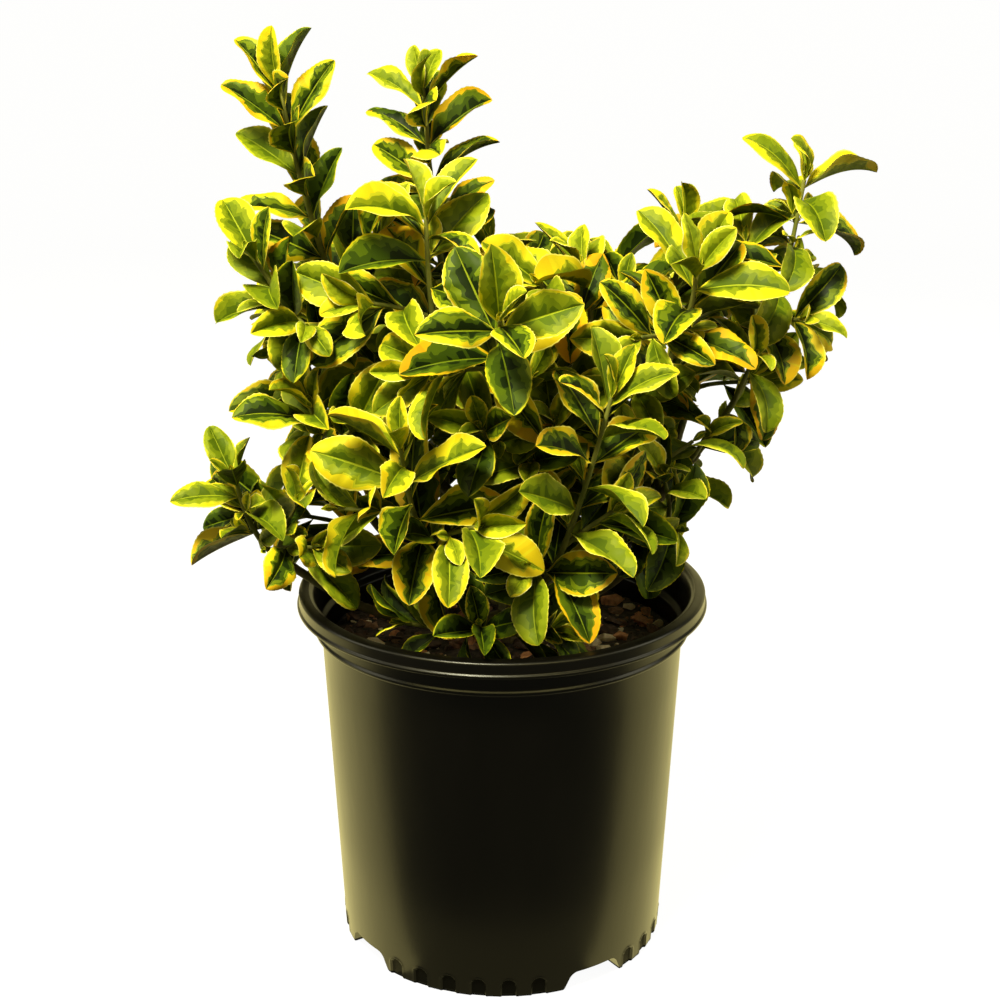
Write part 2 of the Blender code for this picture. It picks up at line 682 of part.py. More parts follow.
def inner_profile(inset, top):
    """The pot's inside, drawn in by an inset from the outside, up to a height."""
    floor = inset
    profile = [(0.0, top)]
    if top > POT_HEIGHT:
        profile += [
            (LIP_CREST_RADIUS - 0.0018, top),
            (LIP_CREST_RADIUS - 0.0018, POT_HEIGHT),
            (LIP_CREST_RADIUS - 0.0044, POT_HEIGHT - 0.0014),
            (BAND_RADIUS + 0.0008 - inset, POT_HEIGHT - 0.0052),
            (BAND_RADIUS - inset, BAND_TOP),
            (BAND_RADIUS - 0.0006 - inset, BAND_BOTTOM + 0.0034),
            (wall_radius(BAND_BOTTOM) - inset, BAND_BOTTOM + 0.0004),
        ]
    else:
        profile += [
            (SOIL_FLAT_RADIUS, top),
            (wall_radius(SOIL_EDGE) - inset, SOIL_EDGE),
        ]
    profile += [
        (wall_radius(floor) - inset, floor + 0.0014),
        (wall_radius(floor) - inset - 0.0014, floor),
        (0.0, floor),
    ]
    return profile


def notch_block(turn, offset, group):
    """A block with sloping, rounded shoulders that cuts one drain notch, or its inner side at an offset."""
    grid = bmesh.new()
    bmesh.ops.create_cube(grid, size=1.0)
    length = LIP_RADIUS - NOTCH_INNER_RADIUS + offset
    for corner in grid.verts:
        top = corner.co.z > 0
        half = (NOTCH_TOP_HALF_WIDTH if top else NOTCH_HALF_WIDTH) + offset
        corner.co.y = math.copysign(half, corner.co.y)
        corner.co.x = NOTCH_INNER_RADIUS - offset + (length if corner.co.x > 0 else 0.0)
        corner.co.z = NOTCH_HEIGHT + offset if top else -0.002
    ridges = [
        edge for edge in grid.edges
        if all(corner.co.z > 0 for corner in edge.verts)
        and abs(edge.verts[0].co.x - edge.verts[1].co.x) > length / 2
    ]
    bmesh.ops.bevel(grid, geom=ridges, offset=0.0035 + offset, segments=2, profile=0.5, affect="EDGES")
    mesh = bpy.data.meshes.new("notch")
    grid.to_mesh(mesh)
    grid.free()
    mesh.transform(Matrix.Rotation(math.radians(turn - 90), 4, "Z"))
    return as_guide(place("notch", mesh, group))


def drain_hole(turn, group):
    """An upright cylinder that drills the roof of one notch."""
    grid = bmesh.new()
    bmesh.ops.create_cone(
        grid, cap_ends=True, segments=14, radius1=DRAIN_RADIUS, radius2=DRAIN_RADIUS, depth=0.012)
    mesh = bpy.data.meshes.new("drain")
    grid.to_mesh(mesh)
    grid.free()
    mesh.transform(Matrix.Translation((DRAIN_PLACE, 0.0, NOTCH_HEIGHT + POT_WALL / 2)))
    mesh.transform(Matrix.Rotation(math.radians(turn - 90), 4, "Z"))
    return as_guide(place("drain", mesh, group))


def make_pot(group, cutters):
    """A thin shell: the turned outside with its notches, less the turned inside with theirs, and drain holes."""
    pot = turned("pot", outer_profile(), group, material("black_plastic", (0.012, 0.012, 0.011), 0.38))
    inside = as_guide(turned("pot_inside", inner_profile(POT_WALL, POT_HEIGHT + 0.004), cutters))
    for turn in NOTCH_TURNS:
        cut(pot, notch_block(turn, 0.0, cutters))
        cut(inside, notch_block(turn, POT_WALL, cutters))
    cut(pot, inside)
    for turn in NOTCH_TURNS:
        cut(pot, drain_hole(turn, cutters))
    pot.data.shade_smooth()
    pot.data.set_sharp_from_angle(angle=math.radians(35))


def make_soil(group, cutters):
    """The potting mix that fills the pot, a gap clear of its wall and floor."""
    dark = material("potting_mix", (0.035, 0.022, 0.014), 0.95)
    soil = turned("soil", inner_profile(POT_WALL + GAP, SOIL_TOP), group, dark)
    for turn in NOTCH_TURNS:
        cut(soil, notch_block(turn, POT_WALL + GAP, cutters))


# Limbs and foliage

def tube(name, path, radii, resolution, group, outline=None):
    """A tapering tube along a path as a welded mesh: round, or with the section of an outline curve."""
    curve = bpy.data.curves.new(name, "CURVE")
    curve.dimensions = "3D"
    curve.use_fill_caps = True
    if outline is None:
        curve.bevel_depth = 1.0
        curve.bevel_resolution = resolution
    else:
        curve.bevel_mode = "OBJECT"
        curve.bevel_object = outline
    spline = curve.splines.new("POLY")
    spline.points.add(len(path) - 1)
    for spot, point, radius in zip(spline.points, path, radii):
        spot.co = (*point, 1.0)
        spot.radius = radius
    thing = place(name, curve, group)
    mesh = evaluated_mesh(thing)
    remove_object(thing)
    grid = bmesh.new()
    grid.from_mesh(mesh)
    bmesh.ops.remove_doubles(grid, verts=grid.verts, dist=0.000001)
    bmesh.ops.recalc_face_normals(grid, faces=grid.faces)
    grid.to_mesh(mesh)
    grid.free()
    return mesh


def grown(path, radii, amount):
    """A path and radii made larger all round by an amount."""
    first = (path[0] - path[1]).normalized() * amount
    last = (path[-1] - path[-2]).normalized() * amount
    longer = [path[0] + first] + path[1:-1] + [path[-1] + last]
    return longer, [radius + amount for radius in radii]


def make_limbs(limbs, group, cutters):
    """The main stem and the boughs. Each bough's foot is cut a gap clear of the limb that it grows from."""
    bark = material("bark", (0.22, 0.24, 0.09), 0.75)
    for name, (path, radii) in limbs.items():
        resolution = 3 if name == "stem" else 1
        limb = place(name, tube(name, path, radii, resolution, group), group, bark)
        if name == "stem":
            continue
        parent = BOUGHS[name][0]
        parent_path, parent_radii = grown(*limbs[parent], GAP)
        parent_mesh = tube("around_" + parent, parent_path, parent_radii, 3 if parent == "stem" else 1, cutters)
        around = as_guide(place("around_" + parent, parent_mesh, cutters))
        cut(limb, around)
        limb.data.shade_smooth()


def triangle_outline(cutters):
    """A three-sided section for twigs, of unit size."""
    curve = bpy.data.curves.new("twig_section", "CURVE")
    curve.dimensions = "2D"
    spline = curve.splines.new("POLY")
    spline.points.add(2)
    spline.use_cyclic_u = True
    for index, spot in enumerate(spline.points):
        angle = math.radians(90 + 120 * index)
        spot.co = (TWIG_CORNER * math.cos(angle), TWIG_CORNER * math.sin(angle), 0.0, 1.0)
    return as_guide(place("twig_section", curve, cutters))


def leaf_object(leaf, group):
    corners, faces = leaf_solid(leaf, 0.0)
    mesh = bpy.data.meshes.new("leaf")
    mesh.from_pydata(corners, [], faces)
    grid = bmesh.new()
    grid.from_mesh(mesh)
    bmesh.ops.recalc_face_normals(grid, faces=grid.faces)
    grid.to_mesh(mesh)
    grid.free()
    return place("leaf", mesh, group)


def fuse(thing, group, solver):
    """Join a collection's objects to an object by one Boolean union, apply it, and remove them."""
    before = thing.data
    modifier = thing.modifiers.new("fuse", "BOOLEAN")
    modifier.operation = "UNION"
    modifier.operand_type = "COLLECTION"
    modifier.collection = group
    modifier.solver = solver
    thing.data = evaluated_mesh(thing)
    thing.modifiers.clear()
    bpy.data.meshes.remove(before)
    for piece in list(group.objects):
        remove_object(piece)
    bpy.data.collections.remove(group)


def keep_main_body(mesh):
    """Drop loose scraps and the walls of sealed hollows, which are all bodies apart from the main one."""
    grid = bmesh.new()
    grid.from_mesh(mesh)
    left = set(grid.verts)
    bodies = []
    while left:
        stack = [left.pop()]
        body = set(stack)
        while stack:
            for edge in stack.pop().link_edges:
                for corner in edge.verts:
                    if corner not in body:
                        body.add(corner)
                        left.discard(corner)
                        stack.append(corner)
        bodies.append(body)
    bodies.sort(key=len)
    for body in bodies[:-1]:
        bmesh.ops.delete(grid, geom=list(body), context="VERTS")
    grid.to_mesh(mesh)
    grid.free()


def make_foliage(masses, leaves, group, cutters):
    """Each mass: its twigs and leaves joined into one body. The youngest pair, a bud's size, is left out."""
    green = material("leaf", (0.30, 0.42, 0.04), 0.4)
    section = triangle_outline(cutters)
    for name, shoots in masses.items():
        path, radii, _, _, _ = shoots[0]
        mass = place(name, tube(name, path, radii, 0, group, section), group, green)
        pieces = collection("pieces_of_" + name)
        for path, radii, _, _, _ in shoots[1:]:
            place("twig", tube("twig", path, radii, 0, group, section), pieces)
        for leaf in leaves[name]:
            if leaf.age > 0:
                leaf_object(leaf, pieces)
        fuse(mass, pieces, "MANIFOLD")
        keep_main_body(mass.data)


def main():
    for thing in list(bpy.data.objects):
        bpy.data.objects.remove(thing)
    plant = collection("potted_golden_euonymus")
    cutters = collection("cutters")
    make_pot(plant, cutters)
    make_soil(plant, cutters)
    limbs = limb_paths()
    masses = shoot_paths(limbs)
    leaves = grow_leaves(limbs, masses)
    make_limbs(limbs, plant, cutters)
    make_foliage(masses, leaves, plant, cutters)
    print("leaves laid out:", sum(len(kept) for kept in leaves.values()))
    print("triangles:", sum(len(face.vertices) - 2 for thing in plant.objects for face in thing.data.polygons))


main()
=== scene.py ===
# %% [markdown]
# # A potted golden euonymus
#
# A young evergreen shrub with yellow-edged leaves, in a round black nursery pot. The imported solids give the
# place of every limb and of every mass of foliage. This lesson dresses them: a moulded pot, a bed of bark mix,
# limbs with bark on them, and leaves whose green heart and yellow margin are drawn by the mesh itself.

# %% Load the frame and keep its box
import math
import random

import bmesh
import bpy
from mathutils import Matrix, Vector, noise
from mathutils.bvhtree import BVHTree
from mathutils.kdtree import KDTree


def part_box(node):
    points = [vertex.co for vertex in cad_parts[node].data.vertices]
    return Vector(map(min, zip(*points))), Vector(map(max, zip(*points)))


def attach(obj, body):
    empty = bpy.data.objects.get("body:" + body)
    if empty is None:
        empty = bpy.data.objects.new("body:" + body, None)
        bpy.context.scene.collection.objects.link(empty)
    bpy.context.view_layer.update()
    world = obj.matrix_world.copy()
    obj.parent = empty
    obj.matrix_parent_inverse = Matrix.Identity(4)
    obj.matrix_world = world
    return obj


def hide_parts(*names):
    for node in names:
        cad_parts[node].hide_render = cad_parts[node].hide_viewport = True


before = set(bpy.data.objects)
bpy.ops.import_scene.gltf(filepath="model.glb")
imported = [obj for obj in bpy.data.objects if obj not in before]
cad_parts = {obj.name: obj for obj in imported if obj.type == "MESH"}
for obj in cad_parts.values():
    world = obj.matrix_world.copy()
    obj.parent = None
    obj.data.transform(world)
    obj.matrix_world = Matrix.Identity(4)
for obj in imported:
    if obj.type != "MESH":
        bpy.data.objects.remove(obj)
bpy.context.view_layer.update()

# %% [markdown]
# ## Camera and studio
#
# The plant was photographed from a little above the pot's lip, against white. The camera's height, distance and
# pitch were fitted to the ellipses of the pot's lip and foot. The studio has a pale floor that curves up into a
# backdrop. Black plastic shows whatever stands round it, so the floor and backdrop are hidden from glossy rays,
# which would make it grey. Two warm cards that lie beside the plant are seen only by glossy rays: they give the
# pot its broad soft reflections at the left and right, and leave the middle nearly black. A large panel overhead
# in front lights the leaves, and the world is dim, so that the inside of the crown stays dark.

# %% Camera
CAMERA_PLACE = (0.0, -1.0227, 0.603)
CAMERA_PITCH = 0.3198
CAMERA_LENS = 68.4
CAMERA_SHIFT = -0.002

scene = bpy.context.scene
scene.view_settings.view_transform = "Standard"
eye = bpy.data.cameras.new("eye")
eye.sensor_width = 36.0
eye.lens = CAMERA_LENS
eye.shift_x = CAMERA_SHIFT
camera = bpy.data.objects.new("camera", eye)
camera.location = CAMERA_PLACE
camera.rotation_euler = (math.pi / 2 - CAMERA_PITCH, 0.0, 0.0)
scene.collection.objects.link(camera)
scene.camera = camera
print("camera", CAMERA_PLACE, "lens", CAMERA_LENS)


# %% Helpers for objects and plain materials
def add_object(name, mesh, surfaces=()):
    """Link an object made of a mesh, with its materials."""
    thing = bpy.data.objects.new(name, mesh)
    scene.collection.objects.link(thing)
    for surface in surfaces:
        mesh.materials.append(surface)
    return thing


def make_mesh(name, corners, faces):
    """A mesh from corners and faces, shaded smooth."""
    mesh = bpy.data.meshes.new(name)
    mesh.from_pydata(corners, [], faces)
    mesh.shade_smooth()
    return mesh


def principled(name, colour, roughness, **settings):
    """A material whose Principled BSDF has plain values on its own sockets."""
    made = bpy.data.materials.new(name)
    made.use_nodes = True
    shader = made.node_tree.nodes["Principled BSDF"]
    shader.inputs["Base Color"].default_value = (*colour, 1.0)
    shader.inputs["Roughness"].default_value = roughness
    for socket, value in settings.items():
        shader.inputs[socket.replace("_", " ")].default_value = value
    return made


# %% Floor, backdrop and lights
FLOOR_RADIUS = 2.2
BACKDROP_ROUND = 0.8
BACKDROP_HEIGHT = 3.0
BACKDROP_STEPS = 96


def make_backdrop():
    """A round floor that rises into a wall all round the plant through a quarter circle."""
    line = [(FLOOR_RADIUS, 0.0)]
    for step in range(1, 13):
        angle = math.pi / 2 * step / 12
        line.append((FLOOR_RADIUS + BACKDROP_ROUND * math.sin(angle), BACKDROP_ROUND * (1 - math.cos(angle))))
    line.append((FLOOR_RADIUS + BACKDROP_ROUND, BACKDROP_HEIGHT))
    corners = [(0.0, 0.0, 0.0)]
    faces = []
    for step in range(BACKDROP_STEPS):
        turn = math.tau * step / BACKDROP_STEPS
        here = 1 + step * len(line)
        there = 1 + (step + 1) % BACKDROP_STEPS * len(line)
        corners += [(radius * math.cos(turn), radius * math.sin(turn), height) for radius, height in line]
        faces.append((0, here, there))
        faces += [(here + k, here + k + 1, there + k + 1, there + k) for k in range(len(line) - 1)]
    pale = principled("studio_white", (0.10, 0.10, 0.10), 0.9, Specular_IOR_Level=0.1)
    shader = pale.node_tree.nodes["Principled BSDF"]
    shader.inputs["Emission Color"].default_value = (1.0, 1.0, 1.0, 1.0)
    shader.inputs["Emission Strength"].default_value = 0.955
    backdrop = add_object("backdrop", make_mesh("backdrop", corners, faces), [pale])
    backdrop.visible_glossy = False
    backdrop.visible_diffuse = False


def area_light(name, place, target, size, power, colour=(1.0, 1.0, 1.0)):
    """A soft panel of light that faces a point."""
    lamp = bpy.data.lights.new(name, "AREA")
    lamp.shape = "RECTANGLE"
    lamp.size, lamp.size_y = size
    lamp.energy = power
    lamp.color = colour
    thing = bpy.data.objects.new(name, lamp)
    thing.location = place
    thing.rotation_euler = (Vector(target) - Vector(place)).to_track_quat("-Z", "Y").to_euler()
    thing.visible_camera = False
    scene.collection.objects.link(thing)
    return thing


def gloss_card(name, place, target, size, power, shape="RECTANGLE"):
    """A warm card that is seen only in glossy surfaces."""
    card = area_light(name, place, target, size, power, CARD_COLOUR)
    card.visible_diffuse = False
    card.data.shape = shape
    return card


# %% Lights
KEY_COLOUR = (1.0, 0.95, 0.66)
CARD_COLOUR = (1.0, 0.87, 0.32)
make_backdrop()
area_light("overhead", (-0.35, -0.70, 1.50), (0.0, 0.0, 0.30), (0.40, 0.34), 42.0, KEY_COLOUR)
area_light("left_panel", (-1.30, -0.10, 0.80), (0.0, 0.0, 0.30), (0.7, 1.0), 7.0, KEY_COLOUR)
area_light("right_panel", (1.30, -0.10, 0.80), (0.0, 0.0, 0.30), (0.7, 1.0), 7.5, KEY_COLOUR)
back_panel = area_light("back_panel", (0.40, 1.30, 1.00), (0.0, 0.0, 0.30), (0.9, 0.9), 9.0, KEY_COLOUR)
back_panel.visible_glossy = False
gloss_card("left_card", (-0.71, 0.56, 0.002), (-0.71, 0.56, 1.0), (1.30, 1.30), 10.0)
gloss_card("right_card", (0.71, 0.56, 0.002), (0.71, 0.56, 1.0), (1.30, 1.30), 8.2)
gloss_card("foot_card", (0.0, 0.0, 0.0015), (0.0, 0.0, 1.0), (0.32, 0.32), 0.08, "DISK")
gloss_card("back_card", (0.0, 1.10, 0.42), (0.0, 0.0, 0.22), (2.40, 0.60), 4.8)
gloss_card("lip_strip", (0.0, -0.90, 1.10), (0.0, 0.0, 0.20), (2.40, 0.30), 15.0)
world = bpy.data.worlds.new("studio")
world.use_nodes = True
world.node_tree.nodes["Background"].inputs["Color"].default_value = (1.0, 0.95, 0.66, 1.0)
world.node_tree.nodes["Background"].inputs["Strength"].default_value = 0.130
scene.world = world

# %% [markdown]
# ## Surface effects shared by several materials
#
# Moulded plastic, bark and bark mix all show a fine unevenness. It is one node group: a noise that puts out a
# mask to mix colours with, and a finer one that puts out a height for a Bump node. Each material sets its own
# scale and contrast.

# %% Unevenness group
def make_unevenness_group():
    """Node group: Scale, Stretch and Contrast in, Mask and Height out."""
    group = bpy.data.node_groups.new("unevenness", "ShaderNodeTree")
    face = group.interface
    for name, value in (("Scale", 60.0), ("Stretch", 1.0), ("Contrast", 0.3)):
        socket = face.new_socket(name, in_out="INPUT", socket_type="NodeSocketFloat")
        socket.default_value = value
    face.new_socket("Mask", in_out="OUTPUT", socket_type="NodeSocketFloat")
    face.new_socket("Height", in_out="OUTPUT", socket_type="NodeSocketFloat")
    nodes, links = group.nodes, group.links
    given = nodes.new("NodeGroupInput")
    result = nodes.new("NodeGroupOutput")
    place = nodes.new("ShaderNodeTexCoord")
    squeeze = nodes.new("ShaderNodeCombineXYZ")
    squeeze.inputs["X"].default_value = 1.0
    squeeze.inputs["Y"].default_value = 1.0
    links.new(given.outputs["Stretch"], squeeze.inputs["Z"])
    stretched = nodes.new("ShaderNodeVectorMath")
    stretched.operation = "MULTIPLY"
    links.new(place.outputs["Object"], stretched.inputs[0])
    links.new(squeeze.outputs["Vector"], stretched.inputs[1])
    coarse = nodes.new("ShaderNodeTexNoise")
    coarse.inputs["Detail"].default_value = 6.0
    links.new(stretched.outputs["Vector"], coarse.inputs["Vector"])
    links.new(given.outputs["Scale"], coarse.inputs["Scale"])
    low = nodes.new("ShaderNodeMath")
    low.operation = "SUBTRACT"
    low.inputs[0].default_value = 0.5
    links.new(given.outputs["Contrast"], low.inputs[1])
    high = nodes.new("ShaderNodeMath")
    high.operation = "ADD"
    high.inputs[0].default_value = 0.5
    links.new(given.outputs["Contrast"], high.inputs[1])
    mask = nodes.new("ShaderNodeMapRange")
    links.new(coarse.outputs["Fac"], mask.inputs["Value"])
    links.new(low.outputs["Value"], mask.inputs["From Min"])
    links.new(high.outputs["Value"], mask.inputs["From Max"])
    finer = nodes.new("ShaderNodeMath")
    finer.operation = "MULTIPLY"
    finer.inputs[1].default_value = 5.0
    links.new(given.outputs["Scale"], finer.inputs[0])
    fine = nodes.new("ShaderNodeTexNoise")
    fine.inputs["Detail"].default_value = 4.0
    links.new(stretched.outputs["Vector"], fine.inputs["Vector"])
    links.new(finer.outputs["Value"], fine.inputs["Scale"])
    links.new(mask.outputs["Result"], result.inputs["Mask"])
    links.new(fine.outputs["Fac"], result.inputs["Height"])
    return group


UNEVENNESS = make_unevenness_group()


def uneven(name, colours, roughness, scale, stretch, contrast, bump, **settings):
    """A material that mixes two colours and two roughnesses by the unevenness group, with a fine bump."""
    made = principled(name, colours[0], roughness[0], **settings)
    nodes, links = made.node_tree.nodes, made.node_tree.links
    shader = nodes["Principled BSDF"]
    group = nodes.new("ShaderNodeGroup")
    group.node_tree = UNEVENNESS
    group.inputs["Scale"].default_value = scale
    group.inputs["Stretch"].default_value = stretch
    group.inputs["Contrast"].default_value = contrast
    blend = nodes.new("ShaderNodeMix")
    blend.data_type = "RGBA"
    blend.inputs["A"].default_value = (*colours[0], 1.0)
    blend.inputs["B"].default_value = (*colours[1], 1.0)
    links.new(group.outputs["Mask"], blend.inputs["Factor"])
    links.new(blend.outputs["Result"], shader.inputs["Base Color"])
    sheen = nodes.new("ShaderNodeMapRange")
    sheen.inputs["To Min"].default_value = roughness[0]
    sheen.inputs["To Max"].default_value = roughness[1]
    links.new(group.outputs["Mask"], sheen.inputs["Value"])
    links.new(sheen.outputs["Result"], shader.inputs["Roughness"])
    relief = nodes.new("ShaderNodeBump")
    relief.inputs["Strength"].default_value = bump
    relief.inputs["Distance"].default_value = 0.001
    links.new(group.outputs["Height"], relief.inputs["Height"])
    links.new(relief.outputs["Normal"], shader.inputs["Normal"])
    return made


# %% [markdown]
# ## The nursery pot
#
# The real pot is blown or moulded from thin black plastic: a tapering wall, a band and a rolled lip at the top,
# and a foot with four drain notches and a row of small moulded arches between each two. Its outline is drawn
# once and turned by a Screw modifier. The arches are pressed into the turned wall by moving its points, and the
# notches and drain holes are cut by Booleans, as in the solids. The faces inside the arches take a darker,
# rougher copy of the plastic, which paints shade into the arches.

# %% Pot sizes
GAP = 0.0003
POT_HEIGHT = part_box("pot")[1].z
LIP_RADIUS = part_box("pot")[1].x
POT_WALL = 0.0016
POT_FOOT_RADIUS = 0.0944
POT_TAPER = 0.0503
BAND_BOTTOM = 0.1900
BAND_TOP = 0.2020
BAND_RADIUS = 0.1075
LIP_BOTTOM = 0.2048
LIP_CREST_RADIUS = 0.1128
NOTCH_HEIGHT = 0.0110
NOTCH_TURNS = (34.0, 124.0, 214.0, 304.0)
NOTCH_HALF_WIDTH = 0.0212
NOTCH_TOP_HALF_WIDTH = 0.0150
NOTCH_INNER_RADIUS = 0.0750
DRAIN_RADIUS = 0.0055
DRAIN_PLACE = 0.0850
POT_STEPS = 720
ARCH_HALF_WIDTH = 0.0044
ARCH_HEIGHT = 0.0118
ARCH_DEPTH = 0.0013
ARCH_SLOPE = 0.0009
ARCH_RIM = 0.00040
ARCH_FIRST = 16.3
ARCH_PITCH = 10.5
ARCHES_PER_FOOT = 6
SOIL_TOP = 0.1832
SOIL_EDGE = 0.1800
print("pot height and lip radius in mm:", round(POT_HEIGHT * 1000, 1), round(LIP_RADIUS * 1000, 1))


def wall_radius(height):
    """Outer radius of the pot's wall at a height."""
    return POT_FOOT_RADIUS + POT_TAPER * height


# %% Turned shapes
def rounded(points, radii, steps=5):
    """A profile with its corners rounded by arcs, each corner by its own radius."""
    line = [points[0]]
    for index in range(1, len(points) - 1):
        corner = Vector(points[index])
        back = Vector(points[index - 1]) - corner
        ahead = Vector(points[index + 1]) - corner
        reach = min(radii[index], back.length * 0.45, ahead.length * 0.45)
        if reach <= 0.0:
            line.append(tuple(corner))
            continue
        first = corner + back.normalized() * reach
        last = corner + ahead.normalized() * reach
        for step in range(steps + 1):
            t = step / steps
            line.append(tuple(first * (1 - t) ** 2 + corner * 2 * t * (1 - t) + last * t ** 2))
    line.append(points[-1])
    return line


def applied(thing):
    """Replace an object's mesh by its mesh after its modifiers."""
    depsgraph = bpy.context.evaluated_depsgraph_get()
    depsgraph.update()
    before = thing.data
    thing.data = bpy.data.meshes.new_from_object(thing.evaluated_get(depsgraph))
    thing.modifiers.clear()
    bpy.data.meshes.remove(before)


def turned(name, profile, steps):
    """A solid of revolution about Z, from a profile that runs down its outer side."""
    mesh = bpy.data.meshes.new(name)
    corners = [(radius, 0.0, height) for radius, height in profile]
    mesh.from_pydata(corners, [(k, k + 1) for k in range(len(corners) - 1)], [])
    thing = add_object(name, mesh)
    screw = thing.modifiers.new("turn", "SCREW")
    screw.steps = steps
    screw.render_steps = steps
    screw.use_merge_vertices = True
    screw.merge_threshold = 0.00001
    applied(thing)
    return thing


def subtract(thing, cutter):
    """Cut one object out of another and remove the cutter."""
    modifier = thing.modifiers.new("cut", "BOOLEAN")
    modifier.operation = "DIFFERENCE"
    modifier.solver = "MANIFOLD"
    modifier.object = cutter
    applied(thing)
    mesh = cutter.data
    bpy.data.objects.remove(cutter)
    bpy.data.meshes.remove(mesh)


# %% Pot outline, outside and inside
def pot_outside():
    """The pot's outside: over the rolled lip, under it, down the band and the wall, to the foot."""
    foot_round = 0.0018
    points = [
        (0.0, POT_HEIGHT),
        (LIP_CREST_RADIUS, POT_HEIGHT),
        (LIP_RADIUS - 0.0010, POT_HEIGHT - 0.0006),
        (LIP_RADIUS - 0.0010, LIP_BOTTOM + 0.0024),
        (LIP_RADIUS, LIP_BOTTOM + 0.0016),
        (LIP_RADIUS, LIP_BOTTOM),
        (LIP_RADIUS - 0.0016, LIP_BOTTOM),
        (LIP_RADIUS - 0.0024, POT_HEIGHT - 0.0044),
        (LIP_CREST_RADIUS - 0.0016, POT_HEIGHT - 0.0024),
        (BAND_RADIUS + 0.0008, POT_HEIGHT - 0.0052),
        (BAND_RADIUS, BAND_TOP),
        (BAND_RADIUS - 0.0003, BAND_BOTTOM + 0.0040),
        (BAND_RADIUS + 0.0007, BAND_BOTTOM + 0.0028),
        (BAND_RADIUS + 0.0006, BAND_BOTTOM + 0.0012),
        (wall_radius(BAND_BOTTOM), BAND_BOTTOM),
    ]
    radii = [0, 0.0030, 0.0022, 0.0010, 0.0008, 0.0008, 0.0005, 0.0012, 0.002, 0.002, 0.002, 0.0010, 0.0009, 0.0009,
             0.0015]
    wall_rows = 8
    for row in range(1, wall_rows + 1):
        height = BAND_BOTTOM + (0.0155 - BAND_BOTTOM) * row / wall_rows
        points.append((wall_radius(height), height))
        radii.append(0.0)
    arch_rows = 26
    for row in range(1, arch_rows + 1):
        height = 0.0155 + (foot_round - 0.0155) * row / arch_rows
        points.append((wall_radius(height), height))
        radii.append(0.0)
    points += [(wall_radius(0.0) - 0.0005, 0.0005), (wall_radius(0.0) - foot_round, 0.0), (0.0, 0.0)]
    radii += [0.0, 0.0, 0.0]
    return rounded(points, radii)


def pot_inside(inset, top):
    """The pot's inside, drawn in by an inset from the outside, and open at the top."""
    points = [
        (0.0, top),
        (LIP_CREST_RADIUS - 0.0018, top),
        (LIP_CREST_RADIUS - 0.0018, POT_HEIGHT),
        (LIP_CREST_RADIUS - 0.0044, POT_HEIGHT - 0.0014),
        (BAND_RADIUS + 0.0008 - inset, POT_HEIGHT - 0.0052),
        (BAND_RADIUS - inset, BAND_TOP),
        (BAND_RADIUS - 0.0006 - inset, BAND_BOTTOM + 0.0034),
        (wall_radius(BAND_BOTTOM) - inset, BAND_BOTTOM + 0.0004),
        (wall_radius(inset) - inset, inset + 0.0014),
        (wall_radius(inset) - inset - 0.0014, inset),
        (0.0, inset),
    ]
    radii = [0, 0, 0.001, 0.002, 0.002, 0.002, 0.001, 0.001, 0.0005, 0.0005, 0]
    return rounded(points, radii)


def inside_arch(point):
    """How far a point of the wall lies inside the outline of the nearest arch, below 0 if it lies outside."""
    turn = math.degrees(math.atan2(point.x, -point.y))
    above = max(point.z - (ARCH_HEIGHT - ARCH_HALF_WIDTH), 0.0)
    nearest = -1.0
    for notch in NOTCH_TURNS:
        for number in range(ARCHES_PER_FOOT):
            off = (turn - notch - ARCH_FIRST - ARCH_PITCH * number + 180.0) % 360.0 - 180.0
            across = math.radians(off) * wall_radius(point.z)
            nearest = max(nearest, ARCH_HALF_WIDTH - math.hypot(across, above))
    return nearest


def press_arches(mesh):
    """Press the small arches into the wall just above the foot, each with a fine raised rim."""
    for corner in mesh.vertices:
        x, y, z = corner.co
        radius = math.hypot(x, y)
        if z > 0.0150 or z < 0.0004 or radius < wall_radius(0.0) - 0.003:
            continue
        inside = inside_arch(corner.co)
        depth = ARCH_DEPTH * min(max(inside / ARCH_SLOPE, 0.0), 1.0)
        depth -= ARCH_RIM * math.exp(-((inside / ARCH_SLOPE + 0.6) / 0.5) ** 2)
        corner.co.x = x * (radius - depth) / radius
        corner.co.y = y * (radius - depth) / radius


def notch_block(turn, offset):
    """A block with sloping, rounded shoulders that cuts one drain notch, or its inner side at an offset."""
    grid = bmesh.new()
    bmesh.ops.create_cube(grid, size=1.0)
    length = LIP_RADIUS - NOTCH_INNER_RADIUS + offset
    for corner in grid.verts:
        top = corner.co.z > 0
        half = (NOTCH_TOP_HALF_WIDTH if top else NOTCH_HALF_WIDTH) + offset
        corner.co.y = math.copysign(half, corner.co.y)
        corner.co.x = NOTCH_INNER_RADIUS - offset + (length if corner.co.x > 0 else 0.0)
        corner.co.z = NOTCH_HEIGHT + offset if top else -0.002
    ridges = [
        edge for edge in grid.edges
        if all(corner.co.z > 0 for corner in edge.verts)
        and abs(edge.verts[0].co.x - edge.verts[1].co.x) > length / 2
    ]
    bmesh.ops.bevel(grid, geom=ridges, offset=0.0035 + offset, segments=6, profile=0.5, affect="EDGES")
    mesh = bpy.data.meshes.new("notch")
    grid.to_mesh(mesh)
    grid.free()
    mesh.transform(Matrix.Rotation(math.radians(turn - 90), 4, "Z"))
    return add_object("notch", mesh)


